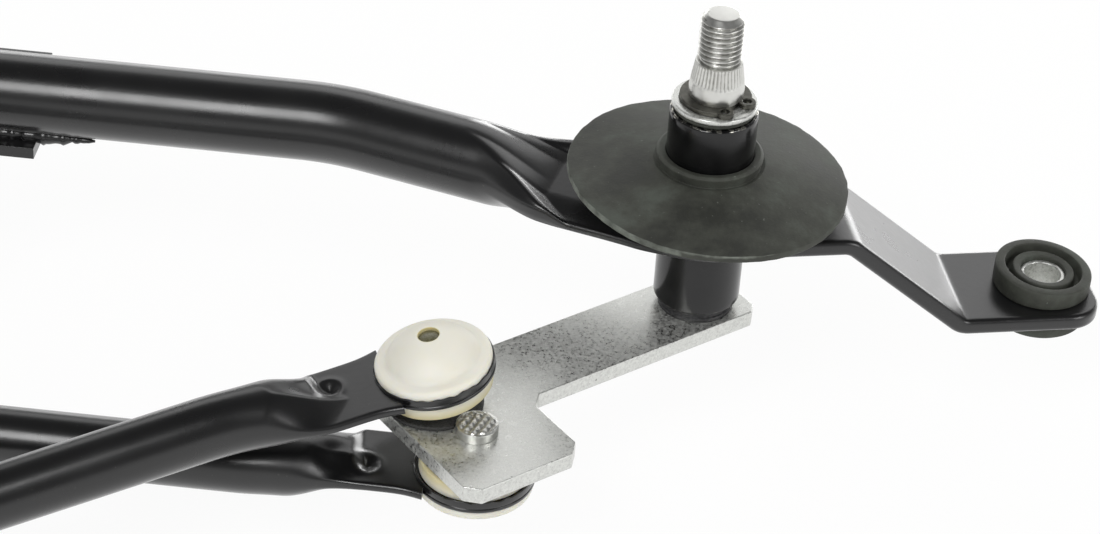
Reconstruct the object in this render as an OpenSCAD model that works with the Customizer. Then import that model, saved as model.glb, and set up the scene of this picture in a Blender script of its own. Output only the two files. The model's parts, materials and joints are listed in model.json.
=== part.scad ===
// Windscreen wiper linkage: a tube frame with two spindles, levers, ball joints and two links.
// Millimetres. The origin is on the right spindle's axis, at the base of its thread, +Z up.

/* [Frame] */
// Distance between the two spindle axes
pivot_spacing = 480; // [440:5:600]
// Outside diameter of the frame tube
tube_d = 19; // [16:0.5:20]
// Wall of the frame tube
tube_wall = 2; // [1.5:0.1:2.4]
// Depth of the tube's centreline below the top of the housings
tube_depth = 30; // [27:0.5:34]
// How far the straight run lies behind the spindle axes
run_offset = 25; // [22:0.5:32]
// Angle of the tube's end legs to the straight run
leg_angle = 15.7; // [13:0.1:18]
// Centreline radius of the tube's bends
bend_r = 60; // [40:5:90]
// Distance from the spindle axis to where the tube starts to flatten
round_at = 52; // [46:1:68]
// Distance from the spindle axis to where the tube is flat
flat_at = 31; // [24:1:36]
// Width of the flattened tube round the housing
boss_w = 31; // [30.5:0.5:34]

/* [Feet] */
// Angle of each foot to the line through the spindles
foot_angle = 14; // [8:1:20]
// Distance from the spindle axis to the foot's upper fold
fold_upper = 32; // [28:0.5:38]
// Distance from the spindle axis to the foot's lower fold
fold_lower = 61; // [54:0.5:64]
// How far the foot's pad lies below the flattened tube
foot_drop = 24; // [16:0.5:28]
// Distance from the spindle axis to the foot's hole
foot_reach = 83.6; // [80:0.2:92]
// Length of the pad beyond the centre of its hole
foot_margin = 11.9; // [11.6:0.1:18]
// Inside radius of the foot's folds
fold_r = 3; // [2:0.5:5]
// Radius of the pad's outer corners
pad_corner_r = 8; // [4:0.5:12]

/* [Grommets] */
// Diameter of the hole in the pad
pad_hole_d = 17; // [15:0.5:19]
// Outside diameter of the grommet
grommet_d = 23; // [21:0.5:26]
// Height of the grommet above the pad
grommet_top = 4.8; // [3:0.2:8]
// Height of the grommet below the pad
grommet_under = 4.8; // [2:0.2:6]
// Outside diameter of the spacer sleeve
sleeve_d = 10.6; // [10.2:0.2:11.4]
// Bore of the spacer sleeve
sleeve_bore_d = 8.6; // [8.2:0.1:9]

/* [Spindles] */
// Diameter of the thread at the spindle's tip
thread_d = 10; // [8:0.5:10]
// Length of the thread
thread_len = 11.4; // [8:0.2:16]
// Chamfer at the thread's tip
thread_chamfer = 1; // [0.5:0.1:1.5]
// Length of the knurled taper below the thread
taper_len = 6; // [5:0.5:9]
// Diameter of the spindle where it runs in the bushes
spindle_d = 12; // [11:0.5:13]
// Diameter of the spindle's seat in the lever
seat_d = 10; // [9:0.5:10.5]
// Plain length between the taper and the circlip
shoulder_len = 3.3; // [2:0.1:6]
// Thickness of the circlip
clip_t = 1.2; // [1:0.1:1.5]
// Width of the circlip's ring
clip_w = 2.6; // [2:0.1:3]
// Diameter of the circlip's eyes
clip_eye_d = 4; // [3.4:0.1:4.4]
// Diameter of the holes in the circlip's eyes
clip_hole_d = 2; // [1.4:0.1:2.2]
// Angle between the circlip's eyes
clip_gap = 57; // [48:1:70]
// Direction of the circlip's gap at rest
clip_turn = -42.5; // [-90:0.5:90]
// Depth of the circlip's groove
groove_depth = 0.5; // [0.3:0.1:0.8]
// Outside diameter of the washer
washer_d = 19.5; // [18:0.5:22]
// Thickness of the washer
washer_t = 1.3; // [1:0.1:2]
// Outside diameter of the rubber seal
seal_d = 18.4; // [17:0.2:20]
// Thickness of the rubber seal
seal_t = 1.2; // [0.8:0.1:2]
// Thickness of the thrust ring above the lever
thrust_t = 3; // [2:0.1:4]
// Outside diameter of the thrust ring
thrust_d = 17.6; // [17:0.2:20]
// Diameter of the riveted foot of the spindle
spindle_rivet_d = 15; // [13:0.5:18]
// Height of the riveted foot of the spindle
spindle_rivet_h = 1.6; // [1:0.1:2]

/* [Housings] */
// Outside diameter of the spindle housing
housing_d = 20; // [19:0.5:22]
// Wall of the spindle housing
housing_wall = 2; // [1.5:0.1:2.4]
// Length of the spindle housing
housing_len = 50; // [46:0.5:60]
// Length of each bush
bush_len = 14; // [10:0.5:18]

/* [Rain discs] */
// Diameter of the rubber disc
disc_d = 64; // [56:1:72]
// Thickness of the rubber disc
disc_t = 1.8; // [1.2:0.1:2.5]
// Fall of the disc from its hub to its rim
disc_fall = 4; // [2:0.2:5]
// Diameter of the disc's collar
collar_d = 24.4; // [23:0.2:28]
// Height of the collar above the disc
collar_h = 2.6; // [1.5:0.1:5]
// Depth of the collar's top below the top of the housing
disc_depth = 11; // [8:0.5:13]

/* [Levers] */
// Direction of the drive lever at rest
lever_angle = 220.8; // [214:0.2:226]
// Thickness of the lever plates
lever_t = 4; // [3:0.1:4.5]
// Width of the lever arms
lever_w = 20.6; // [18:0.2:23]
// Length of the plate beyond the spindle and the driven lever's ball
lever_tip = 11; // [10:0.5:14]
// Chamfer of the lever's tip corners
tip_chamfer = 2.2; // [1:0.1:4]
// Where the side foot of the drive lever starts
side_start = 54.6; // [50:0.2:57]
// Where the side foot of the drive lever ends
side_end = 84.2; // [83:0.2:90]
// How far the side foot reaches from the lever's centreline
side_reach = 31.5; // [28:0.5:38]
// Chamfer of the side foot's corners
side_chamfer = 3; // [1:0.1:4]
// Distance from the spindle to the drive link's ball, along the lever
drive_ball_u = 73; // [70:0.2:74]
// Distance from the spindle to the connecting link's ball, along the lever
link_ball_u = 71.1; // [68:0.2:74]
// Distance of the connecting link's ball beside the lever's centreline
link_ball_v = 14.3; // [14:0.1:18]

/* [Ball joints] */
// Diameter of the balls
ball_d = 16; // [15:0.5:16]
// Height of the drive link's ball above the lever plate
drive_ball_h = 9.2; // [8.6:0.1:10]
// Depth of the connecting link's balls below the lever plates
link_ball_h = 7; // [7:0.1:8]
// Diameter of the stud's neck
neck_d = 10; // [8:0.5:10]
// Diameter of the stud's shank in the plate
shank_d = 8; // [6:0.5:8]
// Diameter of the stud's riveted head
rivet_d = 9.4; // [9:0.2:10]
// Height of the stud's riveted head
rivet_h = 3; // [2:0.1:3]
// Height of the drive stud's rivet head under the lever
drive_rivet_h = 1.4; // [1:0.1:1.6]
// Gap between a dust ring and the rivet head next to it
rivet_gap = 0.4; // [0.2:0.1:0.8]
// Outside diameter of the dust ring on each stud
dust_d = 22.4; // [18:0.2:23]
// Thickness of the dust ring
dust_t = 1; // [0.6:0.1:1.2]
// Diameter of the socket's flange
flange_d = 26.2; // [25:0.2:28]
// Thickness of the socket's flange
flange_t = 2.6; // [1.6:0.1:3]
// Diameter of the socket's dome where it meets the flange
dome_d = 24; // [23:0.1:25]
// Height of the dome above the flange
dome_h = 6.2; // [5.6:0.1:8]
// Diameter of the hole in the dome
dome_hole_d = 4.8; // [3:0.2:6]
// Diameter of the socket's collar at its mouth
lip_d = 25; // [24:0.2:27]
// Height of the socket's collar at its mouth
lip_h = 3.8; // [3:0.1:4]
// Diameter of the socket's mouth
mouth_d = 13.8; // [13:0.1:14.2]
// Diameter of the socket where the link's eye holds it
waist_d = 22.4; // [21.5:0.1:23]

/* [Links] */
// Outside diameter of the link tubes
link_d = 14; // [12:0.5:15]
// Wall of the link tubes
link_wall = 1.1; // [1:0.1:1.8]
// Diameter of the eye at each end of a link
eye_d = 27; // [26.4:0.2:31]
// Distance from the eye's centre to where the link is flat
link_flat_at = 28; // [22:0.5:30]
// Distance from the eye's centre to where the link is round
link_round_at = 44; // [36:1:50]
// Length of the drive link between its balls
drive_link_len = 240; // [210:2:260]
// Direction of the drive link at rest
drive_link_angle = 205; // [200:0.5:208]
// Downward slope of the drive link
drive_link_slope = 11; // [6:0.5:12]
// How far the drive link's tube lies towards the dome's side of each eye
drive_link_lift = 3.5; // [0:0.1:5.4]
// How far the connecting link's tube lies towards the dome's side of each eye
connecting_link_lift = 4.4; // [0:0.1:5.4]

/* [Motor bracket] */
// Thickness of the bracket's sheet
bracket_t = 3; // [2:0.1:4]
// Width of the bracket
bracket_w = 90; // [84:1:100]
// Width of the bracket's saddle under the tube
saddle_w = 135; // [120:5:190]
// Distance of the motor's axis to the left of the right spindle
motor_x = 227.4; // [215:0.2:245]
// Distance of the motor's axis in front of the spindles
motor_y = 138.5; // [130:0.5:150]
// Depth of the motor plate below the top of the housings
motor_plate_depth = 57.4; // [52:0.2:60]
// Where the step down to the motor plate starts, in front of the spindles
step_start = 84; // [82:0.5:88]
// Where the step down to the motor plate ends, in front of the spindles
step_end = 100; // [97:0.5:104]
// Inside radius of the step's folds
step_fold_r = 4; // [3:0.5:6]
// Height of the bracket's hook behind the tube, from the tube's centreline
hook_h = 4; // [0:0.5:7]
// Diameter of the hole for the motor's boss
pilot_d = 26; // [20:0.5:32]
// Circle of the motor's bolts
bolt_circle_d = 64; // [56:0.5:70]
// Diameter of the motor's bolt holes
bolt_hole_d = 6.6; // [5.5:0.1:7]
// Radius of the waist cut into the bracket's sides
bracket_waist_r = 70; // [60:1:90]
// Depth of the waist cut into the bracket's sides
bracket_waist = 16; // [8:0.5:20]
// Diameter of the round ends of the bracket's slot
window_d = 22; // [16:0.5:26]
// Length of the bracket's slot between its round ends
window_len = 36; // [24:0.5:40]

/* [Fits] */
// Radial gap of a shaft that turns in a hole
running_gap = 0.04; // [0.02:0.01:0.08]
// Radial gap between pieces that are pressed or seated together
seat_gap = 0.02; // [0.01:0.01:0.04]
// Radial gap of a ball in its socket
ball_gap = 0.06; // [0.03:0.01:0.09]
// End play of a spindle in its housing
end_play = 0.1; // [0.05:0.05:0.2]

/* [Hidden] */
$fn = 64;

// A sliver that lets cuts run past faces, and the facets of pressed ends and fold arcs
eps = 0.01;
blend_fn = 32;
fold_steps = 20;
// Thickness of a pressed end's first and last slice, and how far they lie inside the tube and the flat
slice = 0.5;
slice_inset = 0.1;

// Heights down the spindle, from the base of the thread
z_clip = -taper_len - shoulder_len;
z_washer = z_clip - clip_t;
z_seal = z_washer - washer_t - end_play;
z_housing = z_seal - seal_t;
z_housing_foot = z_housing - housing_len;
z_thrust = z_housing_foot - end_play;
z_lever = z_thrust - thrust_t;
z_lever_under = z_lever - lever_t;
z_tube = z_housing - tube_depth;
z_disc = z_housing - disc_depth;
z_motor_plate = z_housing - motor_plate_depth;

// The flattened tube keeps the round tube's perimeter
flat_t = 2 * tube_wall;
flat_w = PI * (tube_d - tube_wall) / 2 + tube_wall;
z_pad = z_tube - foot_drop;
link_flat_t = 2 * link_wall;
link_flat_w = PI * (link_d - link_wall) / 2 + link_wall;

// The tube's straight run and its bends
bend_tangent = bend_r * tan(leg_angle / 2);
leg_end = run_offset / sin(leg_angle) - bend_tangent;
run_start = run_offset / tan(leg_angle) + bend_tangent;
// Angle by which a bend, a hair fuller than the tube, laps over the straights
bend_lap = atan(slice / bend_r);

// Places of the balls, and the driven lever that keeps the links a parallelogram
driven_len = norm([link_ball_u, link_ball_v]);
driven_angle = lever_angle + atan2(link_ball_v, link_ball_u);
drive_ball = concat(drive_ball_u * [cos(lever_angle), sin(lever_angle)], [z_lever + drive_ball_h]);
right_ball = concat(driven_len * [cos(driven_angle), sin(driven_angle)], [z_lever_under - link_ball_h]);
left_ball = right_ball - [pivot_spacing, 0, 0];
next_ball = right_ball - drive_ball;

// Unit vectors of a path's pieces, their left normals, and one edge of a folded sheet
function unit(v) = v / norm(v);
function left_of(d) = [-d[1], d[0]];
function heading(p, i) = unit([p[i + 1][0] - p[i][0], p[i + 1][1] - p[i][1]]);
function fold_arc(p, i, o) =
    let (d0 = heading(p, i - 1), d1 = heading(p, i))
    let (turn = atan2(d0[0] * d1[1] - d0[1] * d1[0], d0 * d1), side = sign(turn), r = p[i][2])
    let (c = [p[i][0], p[i][1]] - d0 * r * tan(abs(turn) / 2) + left_of(d0) * side * r, a = atan2(d0[1], d0[0]))
    [for (k = [0 : fold_steps])
        let (b = a + turn * k / fold_steps)
        c - side * (r - side * o) * [-sin(b), cos(b)]];
function sheet_edge(p, o) =
    let (n = len(p) - 1)
    concat(
        [[p[0][0], p[0][1]] + left_of(heading(p, 0)) * o],
        [for (i = [1 : n - 1]) each fold_arc(p, i, o)],
        [[p[n][0], p[n][1]] + left_of(heading(p, n - 1)) * o]);
function reversed(list) = [for (i = [len(list) - 1 : -1 : 0]) list[i]];

// The side of a folded sheet: each point of the path is [x, z, centreline radius of its fold]
module folded_sheet(path, t, w) {
    rotate([90, 0, 0])
        linear_extrude(w, center = true)
            polygon(concat(sheet_edge(path, t / 2), reversed(sheet_edge(path, -t / 2))));
}

// A copy at the left pivot, mirrored or shifted
module mirrored_left() {
    translate([-pivot_spacing, 0, 0]) mirror([1, 0, 0]) children();
}
module shifted_left() {
    translate([-pivot_spacing, 0, 0]) children();
}
module both_ends() {
    children();
    mirrored_left() children();
}

module ring(d_out, d_in, h) {
    difference() {
        cylinder(d = d_out, h = h);
        translate([0, 0, -eps]) cylinder(d = d_in, h = h + 2 * eps);
    }
}

// The end of a tube along X, pressed from round at one place to flat at another. The flat lies on Z = 0,
// and the tube's axis is lifted above it.
module pressed_end(d, w, t, x_round, x_flat, lift = 0) {
    edge_d = t - 2 * slice_inset;
    hull() {
        translate([x_round - slice, 0, lift])
            rotate([0, 90, 0]) cylinder(d = d - 2 * slice_inset, h = slice, $fn = 2 * blend_fn);
        for (s = [-1, 1])
            translate([x_flat - slice, s * (w - t) / 2, 0])
                rotate([0, 90, 0]) cylinder(d = edge_d, h = slice, $fn = blend_fn);
    }
}

// Frame: the round run with its bends and legs
module tube_run() {
    translate([-run_start, run_offset, z_tube])
        rotate([0, -90, 0]) cylinder(d = tube_d, h = pivot_spacing - 2 * run_start);
    both_ends() {
        translate([-run_start, run_offset - bend_r, z_tube])
            rotate([0, 0, 90 - leg_angle - bend_lap])
                rotate_extrude(angle = leg_angle + 2 * bend_lap)
                    translate([bend_r, 0]) circle(d = tube_d + slice_inset);
        rotate([0, 0, 180 - leg_angle])
            translate([round_at, 0, z_tube]) rotate([0, 90, 0]) cylinder(d = tube_d, h = leg_end - round_at);
    }
}

// One flattened end: the flat round the housing and the folded foot
module foot() {
    fold_mid_r = fold_r + flat_t / 2;
    pad_end = foot_reach + foot_margin;
    strap_at = boss_w / 2;
    path = [[strap_at, z_tube, 0], [fold_upper, z_tube, fold_mid_r], [fold_lower, z_pad, fold_mid_r],
        [pad_end, z_pad, 0]];
    boss_t = flat_t + 2 * slice_inset;
    translate([0, 0, z_tube - boss_t / 2])
        linear_extrude(boss_t) {
            circle(d = boss_w);
            rotate(180 - leg_angle) translate([0, -flat_w / 2]) square([flat_at + eps, flat_w]);
            rotate(foot_angle) translate([0, -flat_w / 2]) square([strap_at + flat_t, flat_w]);
        }
    rotate([0, 0, foot_angle])
        intersection() {
            folded_sheet(path, flat_t, flat_w);
            translate([0, 0, z_pad - flat_t])
                linear_extrude(z_tube - z_pad + 2 * flat_t)
                    pad_outline(pad_end);
        }
}

module pad_outline(pad_end) {
    translate([-eps, -flat_w / 2]) square([pad_end - pad_corner_r + eps, flat_w]);
    translate([0, -flat_w / 2 + pad_corner_r]) square([pad_end, flat_w - 2 * pad_corner_r]);
    for (s = [-1, 1])
        translate([pad_end - pad_corner_r, s * (flat_w / 2 - pad_corner_r)]) circle(r = pad_corner_r);
}

module frame_tube() {
    color("#1d1d1f")
        difference() {
            union() {
                tube_run();
                both_ends() {
                    rotate([0, 0, 180 - leg_angle])
                        translate([0, 0, z_tube]) pressed_end(tube_d, flat_w, flat_t, round_at, flat_at);
                    foot();
                }
            }
            both_ends() {
                translate([0, 0, z_tube - flat_t])
                    cylinder(d = housing_d + 2 * seat_gap, h = 2 * flat_t);
                rotate([0, 0, foot_angle])
                    translate([foot_reach, 0, z_pad - flat_t])
                        cylinder(d = pad_hole_d, h = 2 * flat_t);
            }
        }
}

// Motor bracket: a folded sheet that hooks under the tube and steps down to the motor plate
module motor_bracket() {
    hook_r = tube_d / 2 + seat_gap + bracket_t / 2;
    z_top = z_tube - hook_r;
    step_r = step_fold_r + bracket_t / 2;
    front = motor_y + bracket_w / 2;
    path = [[run_offset + hook_r, z_tube + hook_h, 0], [run_offset + hook_r, z_top, hook_r],
        [-step_start, z_top, step_r], [-step_end, z_motor_plate, step_r], [-front, z_motor_plate, 0]];
    deep = tube_depth + motor_plate_depth;
    color("#1d1d1f")
        translate([-motor_x, 0, 0])
            difference() {
                intersection() {
                    rotate([0, 0, 90]) folded_sheet(path, bracket_t, saddle_w);
                    translate([0, 0, z_motor_plate - deep]) linear_extrude(2 * deep) bracket_outline();
                }
                translate([0, -motor_y, z_motor_plate - bracket_t]) {
                    cylinder(d = pilot_d, h = 2 * bracket_t);
                    for (a = [90, 210, 330])
                        rotate([0, 0, a])
                            translate([bolt_circle_d / 2, 0, 0]) cylinder(d = bolt_hole_d, h = 2 * bracket_t);
                }
                translate([0, -step_start / 2, z_top - bracket_t])
                    linear_extrude(2 * bracket_t) {
                        square([window_d, window_len], center = true);
                        for (s = [-1, 1]) translate([0, s * window_len / 2]) circle(d = window_d);
                    }
            }
}

module bracket_outline() {
    back = run_offset + tube_d;
    translate([-saddle_w / 2, run_offset - tube_d / 2]) square([saddle_w, back - run_offset + tube_d / 2]);
    difference() {
        union() {
            translate([-bracket_w / 2, -motor_y]) square([bracket_w, motor_y + back]);
            translate([0, -motor_y]) circle(d = bracket_w);
        }
        for (s = [-1, 1])
            translate([s * (bracket_w / 2 + bracket_waist_r - bracket_waist), -step_start / 2])
                circle(r = bracket_waist_r, $fn = 128);
    }
}

// The pieces of one pivot, in place on the right spindle's axis
module housing() {
    color("#19191b")
        translate([0, 0, z_housing_foot]) ring(housing_d, housing_d - 2 * housing_wall, housing_len);
}

module bush(z) {
    bush_d = housing_d - 2 * housing_wall - 2 * seat_gap;
    color("#8a7a55")
        translate([0, 0, z]) ring(bush_d, spindle_d + 2 * running_gap, bush_len);
}

module seal() {
    color("#202320")
        translate([0, 0, z_housing]) ring(seal_d, spindle_d + 2 * running_gap, seal_t);
}

module rain_disc() {
    hub_r = housing_d / 2 + seat_gap;
    rim_r = disc_d / 2;
    root_r = collar_d / 2;
    color("#2b2f2c")
        rotate_extrude($fn = 96)
            polygon([
                [hub_r, z_disc], [root_r, z_disc], [root_r, z_disc - collar_h],
                [rim_r, z_disc - collar_h - disc_fall], [rim_r, z_disc - collar_h - disc_fall - disc_t],
                [root_r, z_disc - collar_h - disc_t], [hub_r, z_disc - collar_h - disc_t]]);
}

module grommet() {
    core_r = pad_hole_d / 2 - seat_gap;
    hole_r = sleeve_d / 2 + seat_gap;
    under = flat_t / 2 + grommet_under;
    top = flat_t / 2 + grommet_top;
    color("#242625")
        rotate([0, 0, foot_angle])
            translate([foot_reach, 0, z_pad])
                rotate_extrude()
                    polygon([
                        [hole_r, -under], [grommet_d / 2, -under], [grommet_d / 2, -flat_t / 2],
                        [core_r, -flat_t / 2], [core_r, flat_t / 2], [grommet_d / 2, flat_t / 2],
                        [grommet_d / 2, top], [hole_r, top]]);
}

module sleeve() {
    len = grommet_top + flat_t + grommet_under;
    color("#b9bbb8")
        rotate([0, 0, foot_angle])
            translate([foot_reach, 0, z_pad - flat_t / 2 - grommet_under]) ring(sleeve_d, sleeve_bore_d, len);
}

module spindle() {
    plain_len = thread_len - thread_chamfer;
    color("#a9aba9") {
        translate([0, 0, plain_len])
            cylinder(d1 = thread_d, d2 = thread_d - 2 * thread_chamfer, h = thread_chamfer);
        cylinder(d = thread_d, h = plain_len);
        translate([0, 0, -taper_len]) cylinder(d1 = spindle_d, d2 = thread_d + 2 * seat_gap, h = taper_len);
        difference() {
            translate([0, 0, z_lever]) cylinder(d = spindle_d, h = -taper_len - z_lever);
            translate([0, 0, z_washer]) ring(spindle_d + clip_w, spindle_d - 2 * groove_depth, clip_t);
        }
        translate([0, 0, z_lever_under]) cylinder(d = seat_d, h = lever_t);
        translate([0, 0, z_lever_under - spindle_rivet_h]) cylinder(d = spindle_rivet_d, h = spindle_rivet_h);
    }
}

module washer() {
    color("#b4b6b4")
        translate([0, 0, z_washer - washer_t]) ring(washer_d, spindle_d + 2 * running_gap, washer_t);
}

// External circlip: an open ring with an eye at each end
module circlip() {
    in_r = spindle_d / 2 - groove_depth + seat_gap;
    eye_at = (spindle_d + clip_w) / 2;
    cut = washer_d * [cos(clip_gap / 2), sin(clip_gap / 2)];
    color("#4a4a48")
        translate([0, 0, z_washer])
            linear_extrude(clip_t)
                rotate(clip_turn)
                    difference() {
                        union() {
                            difference() {
                                circle(r = in_r + clip_w);
                                polygon([[0, 0], cut, [cut[0], -cut[1]]]);
                            }
                            clip_ends(eye_at) circle(d = clip_eye_d);
                        }
                        circle(r = in_r);
                        clip_ends(eye_at) circle(d = clip_hole_d);
                    }
}

module clip_ends(r) {
    for (s = [-1, 1]) rotate(s * clip_gap / 2) translate([r, 0]) children();
}

module thrust_ring() {
    color("#2a2a2c")
        translate([0, 0, z_lever]) ring(thrust_d, spindle_d + 2 * running_gap, thrust_t);
}

// Levers: plates on the spindle's foot, with a hole for each stud
module drive_lever() {
    h = lever_w / 2;
    color("#b0b2b1")
        translate([0, 0, z_lever_under])
            rotate([0, 0, lever_angle])
                difference() {
                    linear_extrude(lever_t)
                        polygon([
                            [-lever_tip + tip_chamfer, -h], [-lever_tip, -h + tip_chamfer],
                            [-lever_tip, h - tip_chamfer], [-lever_tip + tip_chamfer, h],
                            [side_start - side_chamfer, h], [side_start, h + side_chamfer],
                            [side_start, side_reach - side_chamfer], [side_start + side_chamfer, side_reach],
                            [side_end - side_chamfer, side_reach], [side_end, side_reach - side_chamfer],
                            [side_end, -h + side_chamfer], [side_end - side_chamfer, -h]]);
                    plate_hole([0, 0], seat_d);
                    plate_hole([drive_ball_u, 0], shank_d);
                    plate_hole([link_ball_u, link_ball_v], shank_d);
                }
}

module driven_lever() {
    h = lever_w / 2;
    far = driven_len + lever_tip;
    c = tip_chamfer;
    color("#b0b2b1")
        translate([0, 0, z_lever_under])
            rotate([0, 0, driven_angle])
                difference() {
                    linear_extrude(lever_t)
                        polygon([
                            [-lever_tip + c, -h], [-lever_tip, -h + c], [-lever_tip, h - c], [-lever_tip + c, h],
                            [far - c, h], [far, h - c], [far, -h + c], [far - c, -h]]);
                    plate_hole([0, 0], seat_d);
                    plate_hole([driven_len, 0], shank_d);
                }
}

module plate_hole(at, d) {
    translate([at[0], at[1], -eps]) cylinder(d = d + 2 * seat_gap, h = lever_t + 2 * eps);
}

// Ball joints, each about its ball's centre, with the plate below it
module ball_stud(h, head_h = rivet_h) {
    collar_t = dust_t;
    color("#a6a8a6") {
        sphere(d = ball_d, $fn = 96);
        translate([0, 0, -h]) cylinder(d = neck_d, h = h);
        translate([0, 0, -h]) cylinder(d = (ball_d + neck_d) / 2, h = collar_t);
        translate([0, 0, -h - lever_t]) cylinder(d = shank_d, h = lever_t);
        translate([0, 0, -h - lever_t - head_h]) cylinder(d = rivet_d, h = head_h);
    }
}

// A ring on the plate, cut away where a rivet head stands next to it
module dust_ring(h, heads = []) {
    color("#1c1c1a")
        translate([0, 0, -h])
            difference() {
                ring(dust_d, (ball_d + neck_d) / 2 + 2 * seat_gap, dust_t);
                for (at = heads)
                    translate([at[0], at[1], -eps]) cylinder(d = rivet_d + 2 * rivet_gap, h = dust_t + 2 * eps);
            }
}

// Nylon socket: a domed flange over the eye, a waist in it and a collar round the mouth
module ball_socket() {
    eye_half = link_flat_t / 2;
    z_flange = eye_half + flange_t;
    dome_r = (dome_d * dome_d / 4 + dome_h * dome_h) / (2 * dome_h);
    color("#e9e6dc")
        difference() {
            rotate_extrude($fn = 96) {
                translate([0, -eye_half - lip_h]) square([lip_d / 2, lip_h]);
                translate([0, -eye_half - eps]) square([waist_d / 2, link_flat_t + 2 * eps]);
                translate([0, eye_half]) square([flange_d / 2, flange_t]);
                intersection() {
                    translate([0, z_flange + dome_h - dome_r]) circle(r = dome_r, $fn = 128);
                    translate([0, z_flange - eps]) square([dome_d / 2, dome_h + flange_t]);
                }
            }
            sphere(d = ball_d + 2 * ball_gap, $fn = 96);
            translate([0, 0, -eye_half - lip_h - eps]) cylinder(d = mouth_d, h = eye_half + lip_h);
            cylinder(d = dome_hole_d, h = z_flange + dome_h + eps);
        }
}

// A link: a tube along X with a flat eye at each end. The tube and the far eye are lifted from the near eye.
module link(length, lift, far_lift) {
    color("#1b1b1d")
        difference() {
            union() {
                translate([link_round_at, 0, lift])
                    rotate([0, 90, 0]) cylinder(d = link_d, h = length - 2 * link_round_at);
                link_end(lift);
                translate([length, 0, far_lift]) mirror([1, 0, 0]) link_end(lift - far_lift);
            }
            eye_hole();
            translate([length, 0, far_lift]) eye_hole();
        }
}

module link_end(lift) {
    pressed_end(link_d, link_flat_w, link_flat_t, link_round_at, link_flat_at, lift);
    translate([0, 0, -link_flat_t / 2]) {
        cylinder(d = eye_d, h = link_flat_t);
        translate([0, -link_flat_w / 2, 0]) cube([link_flat_at + eps, link_flat_w, link_flat_t]);
    }
}

module eye_hole() {
    translate([0, 0, -link_flat_t]) cylinder(d = waist_d + 2 * seat_gap, h = 2 * link_flat_t);
}

// Places of the two links at rest
module at_drive_link() {
    translate(drive_ball) rotate([0, drive_link_slope, drive_link_angle]) children();
}
module at_connecting_link() {
    translate(right_ball) rotate([0, 0, 180]) children();
}
module hanging() {
    rotate([180, 0, 0]) children();
}

// The pieces by name
module right_housing() { housing(); }
module left_housing() { mirrored_left() housing(); }
module right_upper_bush() { bush(z_housing - bush_len); }
module right_lower_bush() { bush(z_housing_foot); }
module left_upper_bush() { mirrored_left() right_upper_bush(); }
module left_lower_bush() { mirrored_left() right_lower_bush(); }
module right_seal() { seal(); }
module left_seal() { mirrored_left() seal(); }
module right_rain_disc() { rain_disc(); }
module left_rain_disc() { mirrored_left() rain_disc(); }
module right_grommet() { grommet(); }
module left_grommet() { mirrored_left() grommet(); }
module right_sleeve() { sleeve(); }
module left_sleeve() { mirrored_left() sleeve(); }
module right_spindle() { spindle(); }
module left_spindle() { shifted_left() spindle(); }
module right_washer() { washer(); }
module left_washer() { shifted_left() washer(); }
module right_circlip() { circlip(); }
module left_circlip() { shifted_left() circlip(); }
module right_thrust_ring() { thrust_ring(); }
module left_thrust_ring() { shifted_left() thrust_ring(); }
module drive_ball_stud() { translate(drive_ball) ball_stud(drive_ball_h, drive_rivet_h); }
module right_ball_stud() { translate(right_ball) hanging() ball_stud(link_ball_h); }
module left_ball_stud() { translate(left_ball) hanging() ball_stud(link_ball_h); }
module drive_dust_ring() { translate(drive_ball) dust_ring(drive_ball_h, [next_ball]); }
module right_dust_ring() {
    translate(right_ball) hanging() dust_ring(link_ball_h, [[-next_ball[0], next_ball[1]]]);
}
module left_dust_ring() { translate(left_ball) hanging() dust_ring(link_ball_h); }
module connecting_tube() { at_connecting_link() link(pivot_spacing, -connecting_link_lift, 0); }
module right_socket() { translate(right_ball) hanging() ball_socket(); }
module left_socket() { translate(left_ball) hanging() ball_socket(); }
module drive_tube() { at_drive_link() link(drive_link_len, drive_link_lift, 2 * drive_link_lift); }
module lever_socket() { at_drive_link() ball_socket(); }
module motor_socket() {
    at_drive_link() translate([drive_link_len, 0, 2 * drive_link_lift]) hanging() ball_socket();
}

frame_tube();
motor_bracket();
right_housing();
left_housing();
right_upper_bush();
right_lower_bush();
left_upper_bush();
left_lower_bush();
right_seal();
left_seal();
right_rain_disc();
left_rain_disc();
right_grommet();
left_grommet();
right_sleeve();
left_sleeve();
right_spindle();
left_spindle();
right_washer();
left_washer();
right_circlip();
left_circlip();
right_thrust_ring();
left_thrust_ring();
drive_lever();
shifted_left() driven_lever();
drive_ball_stud();
right_ball_stud();
left_ball_stud();
drive_dust_ring();
right_dust_ring();
left_dust_ring();
connecting_tube();
right_socket();
left_socket();
drive_tube();
lever_socket();
motor_socket();
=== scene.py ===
"""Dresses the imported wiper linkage: painted tubes, plated levers, nylon sockets, rubber, stage and camera."""

import json
import math

import bmesh
import bpy
import numpy as np
from mathutils import Matrix, Vector


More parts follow.
